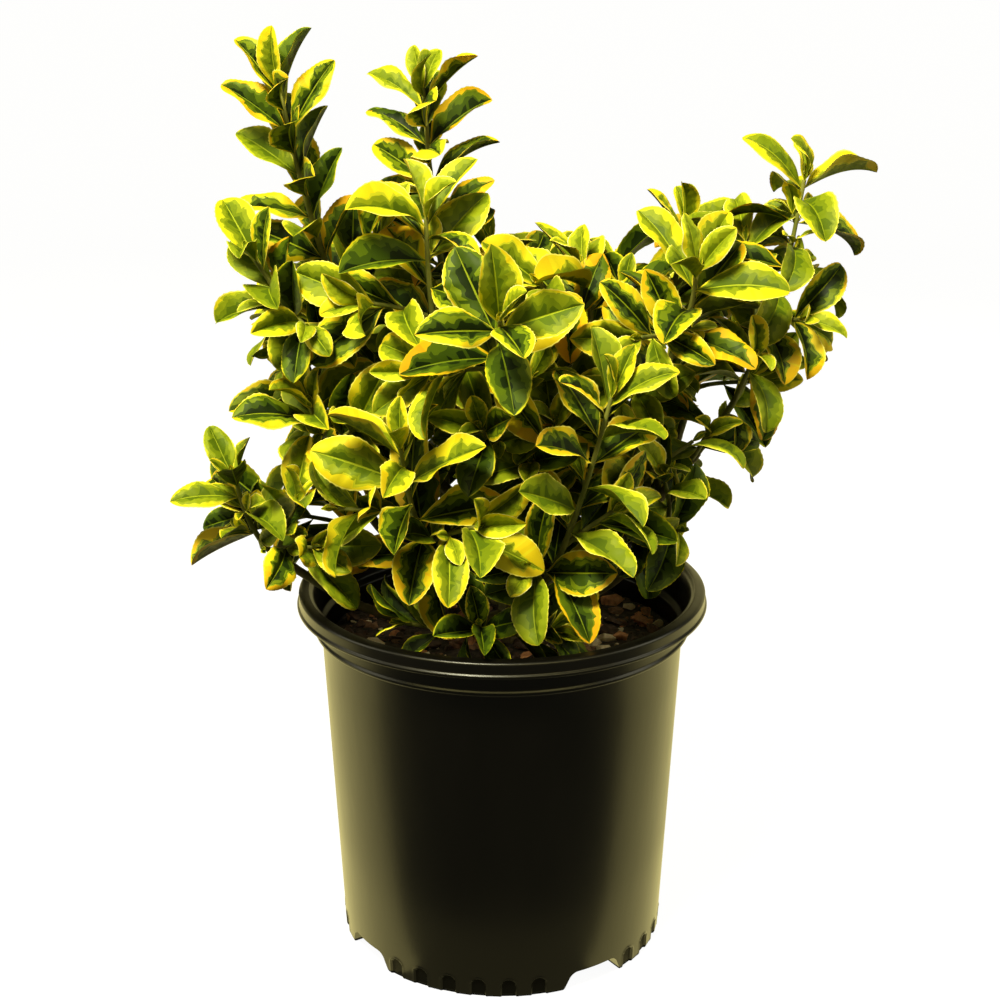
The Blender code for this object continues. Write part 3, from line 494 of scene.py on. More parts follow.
def drain_hole(turn):
    """An upright cylinder that drills the roof of one notch."""
    grid = bmesh.new()
    bmesh.ops.create_cone(
        grid, cap_ends=True, segments=32, radius1=DRAIN_RADIUS, radius2=DRAIN_RADIUS, depth=0.012)
    mesh = bpy.data.meshes.new("drain")
    grid.to_mesh(mesh)
    grid.free()
    mesh.transform(Matrix.Translation((DRAIN_PLACE, 0.0, NOTCH_HEIGHT + POT_WALL / 2)))
    mesh.transform(Matrix.Rotation(math.radians(turn - 90), 4, "Z"))
    return add_object("drain", mesh)


# %% Pot
def make_pot():
    """Turn the pot, press its arches, and cut its notches, its inside and its drain holes."""
    pot = turned("nursery_pot", pot_outside(), POT_STEPS)
    press_arches(pot.data)
    inside = turned("pot_inside", pot_inside(POT_WALL, POT_HEIGHT + 0.004), 180)
    for turn in NOTCH_TURNS:
        subtract(pot, notch_block(turn, 0.0))
        subtract(inside, notch_block(turn, POT_WALL))
    subtract(pot, inside)
    for turn in NOTCH_TURNS:
        subtract(pot, drain_hole(turn))
    plastic = uneven("black_plastic", ((0.0011, 0.0009, 0.0005), (0.0022, 0.0018, 0.0010)), (0.27, 0.36),
                     24.0, 0.35, 0.25, 0.06, Specular_IOR_Level=0.30)
    # A darker, rougher copy of the plastic, which paints shade into the arches.
    recess_painted_shade = uneven("matt_plastic_painted_shade", ((0.0008, 0.0007, 0.0004), (0.0014, 0.0012, 0.0008)), (0.55, 0.65),
                    24.0, 0.35, 0.25, 0.06, Specular_IOR_Level=0.10)
    pot.data.materials.clear()
    pot.data.materials.append(plastic)
    pot.data.materials.append(recess_painted_shade)
    # Faces well inside an arch take the darker copy: painted shade in the arch.
    for face in pot.data.polygons:
        middle = face.center
        on_wall = math.hypot(middle.x, middle.y) > wall_radius(middle.z) - ARCH_DEPTH - 0.0002
        if middle.z < ARCH_HEIGHT and on_wall and inside_arch(middle) > 0.6 * ARCH_SLOPE:
            face.material_index = 1
    pot.data.shade_smooth()
    pot.data.set_sharp_from_angle(angle=math.radians(38))
    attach(pot, "root")
    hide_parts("pot")
    print("pot faces:", len(pot.data.polygons))


make_pot()

# %% [markdown]
# ## The potting mix
#
# The mix is bark, from dust to nuggets. A turned body fills the pot, with an uneven top. Nuggets lie on it: each
# is the convex hull of a few random points, so that it has the flat faces of broken bark. They are joined into
# one mesh, and each takes one of a few plain browns.

# %% Potting mix
MIX_SEED = 7
MIX_RINGS = 26
MIX_STEPS = 150
NUGGET_COUNT = 760
# Larger nuggets where the photo shows them: place, reach and shade, from 0, dark, to 3, pale
PLACED_NUGGETS = (
    (0.067, 0.052, 0.0088, 2), (0.076, 0.046, 0.0056, 3), (0.082, 0.024, 0.0115, 2), (0.087, 0.040, 0.0070, 2),
    (0.090, 0.016, 0.0066, 3), (0.066, 0.008, 0.0060, 3), (0.060, -0.004, 0.0088, 3), (0.071, -0.004, 0.0076, 2),
    (0.056, 0.010, 0.0060, 2), (0.070, 0.020, 0.0058, 1), (0.052, -0.014, 0.0072, 3), (-0.080, 0.016, 0.0064, 1),
    (-0.070, 0.030, 0.0058, 2), (-0.062, -0.006, 0.0056, 0), (-0.090, 0.030, 0.0048, 1),
)


def mix_height(x, y):
    """Height of the mix's uneven top."""
    radius = math.hypot(x, y)
    edge = wall_radius(SOIL_EDGE) - POT_WALL
    fall = (SOIL_TOP - SOIL_EDGE) * max(radius - 0.03, 0.0) / (edge - 0.03)
    rough = noise.fractal(Vector((x * 45, y * 45, 3.1)), 0.6, 2.2, 4)
    return SOIL_TOP - fall - 0.0008 + 0.0016 * rough


def make_mix():
    """The body of the mix, closed, with an uneven top."""
    edge = wall_radius(SOIL_EDGE) - POT_WALL - GAP
    floor = POT_WALL + GAP
    profile = [(edge * ring / MIX_RINGS, SOIL_TOP) for ring in range(MIX_RINGS + 1)]
    profile += [
        (wall_radius(floor) - POT_WALL - GAP, floor + 0.0014),
        (wall_radius(floor) - POT_WALL - GAP - 0.0014, floor),
        (0.0, floor),
    ]
    body = turned("potting_mix", profile, MIX_STEPS)
    for corner in body.data.vertices:
        if corner.co.z > SOIL_TOP - 0.0001:
            corner.co.z = mix_height(corner.co.x, corner.co.y)
    for turn in NOTCH_TURNS:
        subtract(body, notch_block(turn, POT_WALL + GAP))
    dark = uneven("fine_mix", ((0.014, 0.009, 0.006), (0.060, 0.036, 0.020)), (0.95, 0.8),
                  260.0, 1.0, 0.12, 0.8)
    body.data.materials.clear()
    body.data.materials.append(dark)
    body.data.shade_smooth()
    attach(body, "root")
    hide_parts("soil")


def make_nuggets():
    """Broken bark on top of the mix, in one mesh."""
    dice = random.Random(MIX_SEED)
    browns = [
        uneven("nugget_dark", ((0.035, 0.016, 0.009), (0.090, 0.042, 0.020)), (0.9, 0.7), 400.0, 0.5, 0.2, 0.6),
        uneven("nugget_brown", ((0.140, 0.064, 0.026), (0.28, 0.140, 0.060)), (0.9, 0.7), 400.0, 0.5, 0.2, 0.6),
        uneven("nugget_red", ((0.30, 0.075, 0.022), (0.90, 0.42, 0.15)), (0.85, 0.7), 400.0, 0.5, 0.4, 0.6),
        uneven("nugget_pale", ((0.72, 0.50, 0.24), (1.00, 0.88, 0.58)), (0.9, 0.8), 400.0, 0.5, 0.4, 0.6),
    ]
    heap = bmesh.new()
    edge = wall_radius(SOIL_EDGE) - POT_WALL - 0.001
    places = list(PLACED_NUGGETS)
    for _ in range(NUGGET_COUNT):
        reach = 0.0012 + 0.0062 * dice.random() ** 2.6
        radius = (edge - reach * 1.3) * math.sqrt(dice.random())
        turn = dice.uniform(0, math.tau)
        shade = dice.choices((0, 1, 2, 3), (0.42, 0.30, 0.18, 0.10))[0]
        places.append((radius * math.cos(turn), radius * math.sin(turn), reach, shade))
    for x, y, reach, shade in places:
        size = Vector((reach * dice.uniform(0.8, 1.5), reach * dice.uniform(0.6, 1.0), reach * dice.uniform(0.35, 0.6)))
        tilt = Matrix.Rotation(dice.uniform(0, math.tau), 3, "Z") @ Matrix.Rotation(dice.uniform(-0.5, 0.5), 3, "X")
        middle = Vector((x, y, mix_height(x, y) + size.z * 0.45))
        corners = []
        for _ in range(12):
            way = Vector((dice.gauss(0, 1), dice.gauss(0, 1), dice.gauss(0, 1))).normalized()
            spot = Vector((way.x * size.x, way.y * size.y, way.z * size.z)) * dice.uniform(0.8, 1.0)
            corners.append(heap.verts.new(middle + tilt @ spot))
        made = bmesh.ops.convex_hull(heap, input=corners)
        loose = [part for part in made["geom_interior"] if isinstance(part, bmesh.types.BMVert)]
        bmesh.ops.delete(heap, geom=loose, context="VERTS")
        for face in made["geom"]:
            if isinstance(face, bmesh.types.BMFace):
                face.material_index = shade
    bmesh.ops.recalc_face_normals(heap, faces=heap.faces)
    mesh = bpy.data.meshes.new("bark_nuggets")
    heap.to_mesh(mesh)
    heap.free()
    nuggets = add_object("bark_nuggets", mesh, browns)
    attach(nuggets, "root")
    print("nuggets:", len(places), "faces:", len(mesh.polygons))


make_mix()
make_nuggets()

# %% [markdown]
# ## Where the limbs and shoots run
#
# These tables and rules are the ones that the solids were grown by, so every limb, twig and leaf here starts
# where its solid does. A limb is a parabola from its parent, through a point half way, to its tip. A shoot goes
# on from its bough, or leaves the first shoot of its mass.

# %% Limbs and shoots
# Main stem: root flare at the mix, lean, and the fork at its top
STEM_FOOT = (0.004, -0.006, SOIL_TOP + GAP)
STEM_THROUGH = (0.004, -0.004, 0.220)
STEM_TIP = (-0.002, 0.000, 0.252)
STEM_STEPS = 8
STEM_FLARE_RADIUS = 0.0100
STEM_RADIUS = 0.0062
STEM_TIP_RADIUS = 0.0048

BOUGH_STEPS = 3

# Boughs: parent limb, place along it from 0 to 1, a point passed half way, the tip, and the two radii
BOUGHS = {
    "bough_left_tall": ("stem", 0.84, (-0.056, 0.006, 0.300), (-0.088, 0.006, 0.374), 0.0034, 0.0026),
    "bough_centre_tall": ("stem", 1.00, (-0.018, 0.010, 0.306), (-0.030, 0.016, 0.372), 0.0036, 0.0026),
    "bough_front_middle": ("stem", 0.80, (0.002, -0.036, 0.276), (-0.001, -0.052, 0.334), 0.0032, 0.0024),
    "bough_right_middle": ("stem", 0.86, (0.028, 0.001, 0.292), (0.046, 0.000, 0.346), 0.0034, 0.0025),
    "bough_right_tall": ("stem", 0.42, (0.062, 0.003, 0.238), (0.110, 0.002, 0.292), 0.0036, 0.0027),
    "bough_front_right": ("stem", 0.40, (0.012, -0.028, 0.213), (0.020, -0.050, 0.229), 0.0032, 0.0027),
    "bough_front_left": ("stem", 0.46, (-0.012, -0.022, 0.214), (-0.025, -0.038, 0.228), 0.0032, 0.0026),
    "bough_left_low": ("stem", 0.20, (-0.056, -0.016, 0.198), (-0.118, -0.026, 0.234), 0.0032, 0.0024),
    "bough_left_middle": ("stem", 0.52, (-0.050, -0.008, 0.234), (-0.086, -0.012, 0.278), 0.0032, 0.0024),
    "bough_back_left": ("stem", 0.60, (-0.040, 0.044, 0.262), (-0.072, 0.074, 0.318), 0.0034, 0.0025),
    "bough_back_right": ("stem", 0.66, (0.036, 0.050, 0.270), (0.056, 0.084, 0.326), 0.0034, 0.0025),
    "bough_right_low": ("stem", 0.22, (0.044, -0.014, 0.209), (0.080, -0.022, 0.238), 0.0030, 0.0024),
    "bough_front_low": ("stem", 0.12, (-0.001, -0.032, 0.197), (-0.006, -0.052, 0.203), 0.0028, 0.0022),
    "bough_back_low": ("stem", 0.26, (0.004, 0.042, 0.210), (0.002, 0.086, 0.236), 0.0030, 0.0024),
    "bough_left_upper": ("bough_left_tall", 0.50, (-0.084, 0.000, 0.326), (-0.105, -0.006, 0.358), 0.0024, 0.0022),
    "bough_centre_front": ("bough_centre_tall", 0.48, (-0.028, -0.004, 0.324), (-0.034, -0.014, 0.352), 0.0026, 0.0022),
    "bough_right_back": ("bough_right_middle", 0.44, (0.058, 0.018, 0.322), (0.088, 0.034, 0.362), 0.0025, 0.0022),
    "bough_right_upper": ("bough_right_middle", 0.60, (0.062, -0.008, 0.314), (0.082, -0.014, 0.336), 0.0024, 0.0021),
    "bough_right_front": ("bough_right_tall", 0.52, (0.070, -0.014, 0.252), (0.074, -0.028, 0.272), 0.0024, 0.0021),
    "bough_right_far": ("bough_right_tall", 0.62, (0.094, 0.030, 0.268), (0.108, 0.054, 0.300), 0.0024, 0.0021),
    "bough_back_middle": ("bough_centre_tall", 0.36, (-0.014, 0.040, 0.312), (-0.010, 0.064, 0.348), 0.0026, 0.0022),
    "bough_left_far": ("bough_back_left", 0.50, (-0.070, 0.046, 0.266), (-0.100, 0.046, 0.290), 0.0025, 0.0022),
    "bough_inner_front": ("stem", 0.68, (0.014, -0.018, 0.258), (0.022, -0.030, 0.284), 0.0028, 0.0022),
    "bough_left_rim": ("stem", 0.30, (-0.040, 0.022, 0.207), (-0.078, 0.040, 0.226), 0.0030, 0.0024),
    "bough_right_rim": ("stem", 0.34, (0.040, 0.026, 0.212), (0.072, 0.050, 0.232), 0.0030, 0.0024),
    "bough_inner_back": ("stem", 0.74, (0.010, 0.022, 0.268), (0.018, 0.038, 0.296), 0.0028, 0.0022),
    "bough_back_far": ("bough_back_right", 0.40, (0.034, 0.080, 0.262), (0.038, 0.106, 0.284), 0.0025, 0.0022),
}

# Foliage: each mass names its bough and its shoots. A shoot has the place along the mass's first shoot that it
# leaves from (None for the first, which starts at the bough's tip), its tip, the length of its grown leaves,
# the turn of its youngest pair of leaves from the left-right line, and how much wider than usual its leaves
# spread, both in degrees.
MASSES = {
    "foliage_front_middle": ("bough_front_middle", (
        (None, (-0.001, -0.096, 0.390), 0.053, 20, 0),
        (0.30, (-0.040, -0.076, 0.358), 0.049, 60, 0),
    )),
    "foliage_right_spire": ("bough_right_tall", (
        (None, (0.164, 0.010, 0.444), 0.050, 95, 4),
        (0.22, (0.136, -0.022, 0.352), 0.048, 120, -10),
        (0.35, (0.134, 0.014, 0.410), 0.052, 75, 0),
        (0.50, (0.162, -0.014, 0.372), 0.046, 45, 0),
    )),
    "foliage_left_spire": ("bough_left_tall", (
        (None, (-0.119, 0.010, 0.492), 0.048, 95, 0),
        (0.10, (-0.066, 0.020, 0.413), 0.049, 50, 15),
    )),
    "foliage_centre_spire": ("bough_centre_tall", (
        (None, (-0.043, 0.030, 0.491), 0.044, 170, 0),
        (0.20, (-0.016, 0.034, 0.366), 0.046, 40, 0),
    )),
    "foliage_front_left": ("bough_front_left", (
        (None, (-0.052, -0.090, 0.322), 0.051, 75, 0),
        (0.35, (-0.014, -0.092, 0.280), 0.051, 20, 0),
        (0.55, (-0.086, -0.080, 0.286), 0.046, 50, 0),
    )),
    "foliage_front_right": ("bough_front_right", (
        (None, (0.056, -0.086, 0.348), 0.049, 45, 0),
        (0.30, (0.058, -0.084, 0.286), 0.049, 10, 0),
        (0.12, (0.014, -0.086, 0.256), 0.046, 40, 0),
    )),
    "foliage_centre_front": ("bough_centre_front", (
        (None, (-0.040, -0.028, 0.430), 0.054, 120, 10),
        (0.25, (-0.071, -0.044, 0.388), 0.051, 0, 0),
    )),
    "foliage_right_upper": ("bough_right_upper", (
        (None, (0.104, -0.028, 0.402), 0.053, 150, 0),
        (0.40, (0.072, -0.056, 0.372), 0.046, 20, 0),
    )),
    "foliage_left_low": ("bough_left_low", (
        (None, (-0.145, -0.038, 0.289), 0.042, 30, 10),
        (0.20, (-0.102, -0.056, 0.256), 0.049, 165, 0),
        (0.10, (-0.112, -0.040, 0.276), 0.048, 20, 0),
        (0.35, (-0.130, -0.052, 0.254), 0.038, 135, 10),
    )),
    "foliage_left_middle": ("bough_left_middle", (
        (None, (-0.103, -0.032, 0.328), 0.049, 15, 0),
        (0.35, (-0.076, -0.050, 0.322), 0.049, 30, 0),
    )),
    "foliage_right_middle": ("bough_right_middle", (
        (None, (0.044, 0.004, 0.396), 0.048, 60, 0),
        (0.25, (0.020, -0.024, 0.394), 0.049, 0, 0),
    )),
    "foliage_left_upper": ("bough_left_upper", (
        (None, (-0.134, -0.016, 0.408), 0.046, 0, -10),
        (0.25, (-0.104, -0.038, 0.374), 0.046, 50, 0),
    )),
    "foliage_right_back": ("bough_right_back", (
        (None, (0.103, 0.044, 0.415), 0.042, 165, -10),
        (0.30, (0.134, 0.060, 0.398), 0.049, 45, 0),
    )),
    "foliage_right_low": ("bough_right_low", (
        (None, (0.087, -0.047, 0.293), 0.047, 135, 0),
        (0.30, (0.097, -0.046, 0.262), 0.046, 120, 10),
    )),
    "foliage_right_front": ("bough_right_front", (
        (None, (0.069, -0.050, 0.314), 0.049, 80, 10),
        (0.30, (0.104, -0.030, 0.308), 0.044, 15, 0),
    )),
    "foliage_front_low": ("bough_front_low", (
        (None, (-0.012, -0.088, 0.224), 0.042, 0, 0),
        (0.20, (0.028, -0.078, 0.216), 0.042, 40, 0),
        (0.15, (-0.052, -0.076, 0.220), 0.042, 80, 0),
    )),
    "foliage_inner_front": ("bough_inner_front", (
        (None, (0.028, -0.050, 0.322), 0.048, 30, 0),
        (0.20, (0.016, -0.066, 0.308), 0.046, 70, 0),
        (0.10, (0.050, -0.030, 0.272), 0.046, 10, 0),
    )),
    "foliage_inner_back": ("bough_inner_back", (
        (None, (0.030, 0.050, 0.342), 0.048, 60, 0),
        (0.20, (0.002, 0.066, 0.314), 0.046, 20, 0),
    )),
    "foliage_left_rim": ("bough_left_rim", (
        (None, (-0.116, 0.062, 0.256), 0.048, 30, 0),
        (0.20, (-0.142, 0.020, 0.252), 0.048, 60, 0),
    )),
    "foliage_right_rim": ("bough_right_rim", (
        (None, (0.100, 0.074, 0.280), 0.048, 0, 0),
        (0.20, (0.104, 0.030, 0.270), 0.046, 90, 0),
    )),
    "foliage_back_left": ("bough_back_left", (
        (None, (-0.092, 0.098, 0.376), 0.051, 45, 0),
        (0.20, (-0.122, 0.074, 0.352), 0.049, 120, 0),
        (0.30, (-0.054, 0.108, 0.352), 0.046, 45, 0),
    )),
    "foliage_back_right": ("bough_back_right", (
        (None, (0.068, 0.108, 0.379), 0.046, 45, 0),
        (0.20, (0.095, 0.100, 0.356), 0.049, 20, 0),
    )),
    "foliage_back_middle": ("bough_back_middle", (
        (None, (-0.006, 0.086, 0.398), 0.046, 30, 0),
        (0.30, (0.030, 0.070, 0.379), 0.046, 55, 0),
        (0.25, (-0.048, 0.070, 0.392), 0.046, 120, 0),
    )),
    "foliage_right_far": ("bough_right_far", (
        (None, (0.136, 0.074, 0.346), 0.049, 30, 0),
        (0.25, (0.146, 0.036, 0.324), 0.046, 80, 0),
    )),
    "foliage_left_far": ("bough_left_far", (
        (None, (-0.118, 0.056, 0.330), 0.049, 75, 0),
        (0.25, (-0.115, 0.024, 0.318), 0.046, 0, 0),
    )),
    "foliage_back_far": ("bough_back_far", (
        (None, (0.048, 0.140, 0.318), 0.049, 0, 0),
        (0.25, (0.088, 0.118, 0.296), 0.046, 45, 0),
    )),
    "foliage_back_low": ("bough_back_low", (
        (None, (0.000, 0.128, 0.276), 0.049, 50, 0),
        (0.25, (-0.048, 0.112, 0.270), 0.049, 15, 0),
    )),
}

# %% Rule of growth
# Twigs are three-sided, with the area of a round twig
TWIG_RADIUS = 0.0022
TWIG_TIP_RADIUS = 0.0011
SIDE_TWIG_RADIUS = 0.0016
TWIG_CORNER = math.sqrt(4 * math.pi / (3 * math.sqrt(3)))
TWIG_STEPS = 4
STRAIGHT_START = 0.0020
SHOOT_RISE = 0.40
SIDE_SHOOT_RISE = 0.15

# How leaves grow: depths below the shoot's tip, where INTERNODE is a share of the leaf's length, and how size,
# spread and droop grow with a pair's age
FIRST_DEPTH = 0.002
FIRST_STEP = 0.0036
STEP_GROWTH = 1.80
INTERNODE = 0.29
BARE_FOOT = 0.008
YOUNGEST_SIZE = 0.62
SIZE_RATE = 1.2
YOUNGEST_SPREAD = 16.0
OLDEST_SPREAD = 60.0
SPREAD_RATE = 0.50
DROOP_RATE = 0.02

# A leaf blade, as shares of its length or in degrees
LEAF_HALF_WIDTH = 0.262
LEAF_WIDEST = 0.58
LEAF_BLUNTNESS = 0.82
PETIOLE = 0.06
LEAF_FOOT = 0.14
PETIOLE_HALF_WIDTH = 0.016
LEAF_BEND = 32.0
LEAF_FOLD = 27.0
LEAF_ROLL = 26.0
LIT_SHARE = 0.50
LEAST_LIGHT = 0.2
SIDE_LIGHT = 0.5
FRONT_LIGHT = 0.65
BACK_START = 0.050
BACK_FULL = 0.080
CROWN_MIDDLE = (0.0, 0.05)
LEAF_THICKNESS = 0.0012
FACET_WIDTH = 1.0
FACET_PLACES = (0.50, 0.94)
ROOT_DEPTH = 0.0008
BLADE_STATIONS = 24
CLEARANCE = 0.0002

# How much leaves differ: turn, spread and roll in degrees either way, and ranges for the shares
TURN_PLAY = 10.0
SPREAD_PLAY = 7.0
LENGTH_RANGE = (0.92, 1.08)
WIDTH_RANGE = (0.90, 1.10)
BEND_RANGE = (0.30, 1.70)
FOLD_RANGE = (0.40, 1.60)
LEAF_SHARE = 0.98
LEAF_TWIST = 20.0

# How much further a leaf on the bright side of its shoot opens and bends over, in degrees
BRIGHT_OPENING = 16.0
BRIGHT_BEND = 28.0
BRIGHT_SIDEWAYS = 0.4

# How the leaves of a mass stand: the share of a leaf between pairs, the size of the youngest pair, the spread of
# old pairs, the bend and the range of its share, how far a leaf turns its face to the light, how far the bright
# side opens and bends over, and the size of the leaves
USUAL_HABIT = {
    "internode": INTERNODE, "youngest": YOUNGEST_SIZE, "spread": OLDEST_SPREAD, "bend": LEAF_BEND,
    "bend_range": BEND_RANGE, "lit": LIT_SHARE, "bright": 1.0, "size": LEAF_SHARE,
}
HABITS = {
    "foliage_left_spire": {"internode": 0.27, "youngest": 0.82, "spread": 36.0, "bend": 20.0, "lit": 0.70, "size": 0.90},
    "foliage_centre_spire": {"internode": 0.23, "spread": 50.0, "bend": 26.0, "lit": 0.75},
    "foliage_right_spire": {"internode": 0.27, "youngest": 0.70, "spread": 84.0, "bend": 58.0,
                            "bend_range": (0.85, 1.20), "lit": 0.62, "size": 0.92},
    "foliage_front_middle": {"internode": 0.30, "spread": 70.0, "bend": 22.0, "lit": 0.35, "bright": 0.5},
    "foliage_front_left": {"internode": 0.27, "spread": 64.0, "bend": 22.0, "lit": 0.25, "bright": 0.3},
    "foliage_front_right": {"bend": 24.0, "lit": 0.35, "bright": 0.5},
    "foliage_front_low": {"bend": 24.0, "lit": 0.35, "bright": 0.5},
    "foliage_right_low": {"bend": 24.0, "lit": 0.35, "bright": 0.6},
    "foliage_left_low": {"bend": 24.0, "lit": 0.35, "bright": 0.6},
}

# Ways to turn, spread and shrink a leaf until it touches nothing
LEAF_TRIES = (
    (0, 0, 1.00), (14, 0, 1.00), (-14, 0, 1.00), (0, -12, 1.00), (0, 12, 1.00),
    (24, -10, 0.92), (-24, -10, 0.92), (0, -22, 0.86), (30, 8, 0.82), (-30, 8, 0.82),
    (0, 0, 0.72), (20, -24, 0.68), (-20, -24, 0.68),
)


# %% Paths
def curve_through(start, through, end, steps):
    """Points of a parabola that passes a given point half way."""
    start, through, end = Vector(start), Vector(through), Vector(end)
    bend = through * 2 - (start + end) / 2
    points = []
    for step in range(steps + 1):
        t = step / steps
        points.append(start * (1 - t) ** 2 + bend * 2 * t * (1 - t) + end * t ** 2)
    return points


def point_along(path, share):
    """The point at a share of a path's length, and the direction there."""
    lengths = [(b - a).length for a, b in zip(path, path[1:])]
    left = share * sum(lengths)
    for a, b, length in zip(path, path[1:], lengths):
        if left <= length:
            return a.lerp(b, left / length), (b - a).normalized()
        left -= length
    return path[-1].copy(), (path[-1] - path[-2]).normalized()


def path_length(path):
    return sum((b - a).length for a, b in zip(path, path[1:]))


def tapered(path, first, last):
    """Radii that run evenly from one end's to the other's."""
    count = len(path) - 1
    return [first + (last - first) * step / count for step in range(count + 1)]


def limb_paths():
    """Path and radii of the main stem and every bough, parents first."""
    foot = Vector(STEM_FOOT)
    stem = [foot] + curve_through(foot + Vector((0, 0, STRAIGHT_START)), STEM_THROUGH, STEM_TIP, STEM_STEPS)
    radii = []
    for step in range(len(stem)):
        t = step / (len(stem) - 1)
        shaft = STEM_RADIUS + (STEM_TIP_RADIUS - STEM_RADIUS) * t
        radii.append(shaft + (STEM_FLARE_RADIUS - STEM_RADIUS) * (1 - t) ** 5)
    limbs = {"stem": (stem, radii)}
    for name, (parent, share, through, tip, base_radius, tip_radius) in BOUGHS.items():
        start, _ = point_along(limbs[parent][0], share)
        path = curve_through(start, through, tip, BOUGH_STEPS)
        limbs[name] = (path, tapered(path, base_radius, tip_radius))
    return limbs


def shoot_paths(limbs):
    """For each mass, the path and radii of its shoots. The first goes on from its bough's tip, a gap away."""
    masses = {}
    for name, (bough, shoots) in MASSES.items():
        paths = []
        for share, tip, leaf_length, turn, opening in shoots:
            tip = Vector(tip)
            if share is None:
                _, heading = point_along(limbs[bough][0], 1.0)
                start = limbs[bough][0][-1] + heading * GAP
                radius = TWIG_RADIUS
                rise = SHOOT_RISE
            else:
                start, heading = point_along(paths[0][0], share)
                radius = SIDE_TWIG_RADIUS
                rise = SIDE_SHOOT_RISE
            path = []
            if share is None:
                path.append(start)
                start = start + heading * STRAIGHT_START
            bend = start + heading * (tip - start).length * rise
            for step in range(TWIG_STEPS + 1):
                t = step / TWIG_STEPS
                path.append(start * (1 - t) ** 2 + bend * 2 * t * (1 - t) + tip * t ** 2)
            paths.append((path, tapered(path, radius, TWIG_TIP_RADIUS), leaf_length, turn, opening))
        masses[name] = paths
    return masses


# %% [markdown]
# ## Bark on the limbs
#
# Young euonymus wood is olive green and turns brown and ridged at the foot. Each limb is a tube of rings whose
# radius follows its path, swells a little at each old leaf scar, and is roughened by a noise that is stretched
# along the limb.

# %% Tubes with relief
SCAR_SPACING = 0.014
SCAR_SWELL = 0.10


def smooth_path(path, steps):
    """Points of a smooth curve through a path's points, evenly by parameter, with the share reached at each."""
    points = []
    last = len(path) - 1
    for step in range(steps + 1):
        place = last * step / steps
        k = min(int(place), last - 1)
        t = place - k
        a, b = path[max(k - 1, 0)], path[k]
        c, d = path[k + 1], path[min(k + 2, last)]
        point = 0.5 * ((2 * b) + (c - a) * t + (2 * a - 5 * b + 4 * c - d) * t * t
                       + (3 * b - a - 3 * c + d) * t * t * t)
        points.append((point, k, t))
    return points


def relief_tube(corners, faces, path, radii, sides, ring_length, ridge, seed):
    """Add a tapering tube with relief to lists of corners and faces."""
    steps = max(int(path_length(path) / ring_length), 6)
    line = smooth_path(path, steps)
    across = (path[1] - path[0]).orthogonal().normalized()
    walked = 0.0
    first = len(corners)
    for number, (point, k, t) in enumerate(line):
        before = line[max(number - 1, 0)][0]
        after = line[min(number + 1, steps)][0]
        along = (after - before).normalized()
        across = (across - along * across.dot(along)).normalized()
        other = along.cross(across)
        walked += (point - before).length
        radius = radii[k] * (1 - t) + radii[k + 1] * t
        scar = math.exp(-((walked % SCAR_SPACING - SCAR_SPACING / 2) / 0.0012) ** 2)
        for side in range(sides):
            angle = math.tau * side / sides
            way = across * math.cos(angle) + other * math.sin(angle)
            rough = noise.noise(Vector((math.cos(angle) * 3.2, math.sin(angle) * 3.2, walked * 90 + seed)))
            corners.append(point + way * radius * (1 + ridge * rough + SCAR_SWELL * scar))
    for ring in range(steps):
        for side in range(sides):
            a = first + ring * sides + side
            b = first + ring * sides + (side + 1) % sides
            faces.append((a, b, b + sides, a + sides))
    faces.append(tuple(first + side for side in reversed(range(sides))))
    faces.append(tuple(first + steps * sides + side for side in range(sides)))


# %% Stem and boughs
def make_bark(limbs):
    """One mesh of the main stem and every bough."""
    corners, faces = [], []
    for number, (name, (path, radii)) in enumerate(limbs.items()):
        sides = 28 if name == "stem" else 16
        ridge = 0.22 if name == "stem" else 0.10
        relief_tube(corners, faces, path, radii, sides, 0.0011, ridge, number * 7.3)
    bark = uneven("young_bark", ((0.085, 0.100, 0.022), (0.180, 0.135, 0.060)), (0.80, 0.70),
                  120.0, 0.30, 0.18, 0.5, Specular_IOR_Level=0.25)
    thing = add_object("stem_and_boughs", make_mesh("stem_and_boughs", corners, faces), [bark])
    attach(thing, "root")
    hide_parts(*limbs)
    print("limbs:", len(limbs), "faces:", len(faces))


LIMBS = limb_paths()
SHOOTS = shoot_paths(LIMBS)
make_bark(LIMBS)

# %% Openings
# The photo looks in on bare mix at these places, told by the middle (x, y) and radius of each patch on the mix
OPEN_PATCHES = ((0.078, 0.026, 0.017), (0.106, 0.050, 0.014), (-0.078, 0.022, 0.015))
# It shows sky at these places, told by the middle (x, z) and radius of each on an upright plane through the stem
SKY_WINDOWS = (
    (-0.103, 0.255, 0.009), (-0.144, 0.231, 0.011), (-0.135, 0.287, 0.008), (-0.158, 0.399, 0.005),
    (-0.133, 0.340, 0.005), (0.117, 0.326, 0.008), (0.105, 0.304, 0.007), (0.123, 0.284, 0.009),
    (0.119, 0.246, 0.015), (0.134, 0.252, 0.009), (0.163, 0.322, 0.006), (0.061, 0.417, 0.007),
    (0.005, 0.428, 0.009),
)


def in_opening(point):
    """Whether the camera sees a point in front of an open patch of the mix or of a window on the sky."""
    camera_place = Vector(CAMERA_PLACE)
    sight = point - camera_place
    low = camera_place + sight * ((SOIL_TOP - camera_place.z) / sight.z)
    if any(math.hypot(low.x - x, low.y - y) < radius for x, y, radius in OPEN_PATCHES):
        return True
    far = camera_place - sight * (camera_place.y / sight.y)
    return any(math.hypot(far.x - x, far.z - z) < radius for x, z, radius in SKY_WINDOWS)


def hides_opening(leaf):
    """Whether a leaf stands between the camera and an opening."""
    return any(in_opening(leaf.point(station / 10, across)) for station in range(3, 11) for across in (-0.8, 0.0, 0.8))
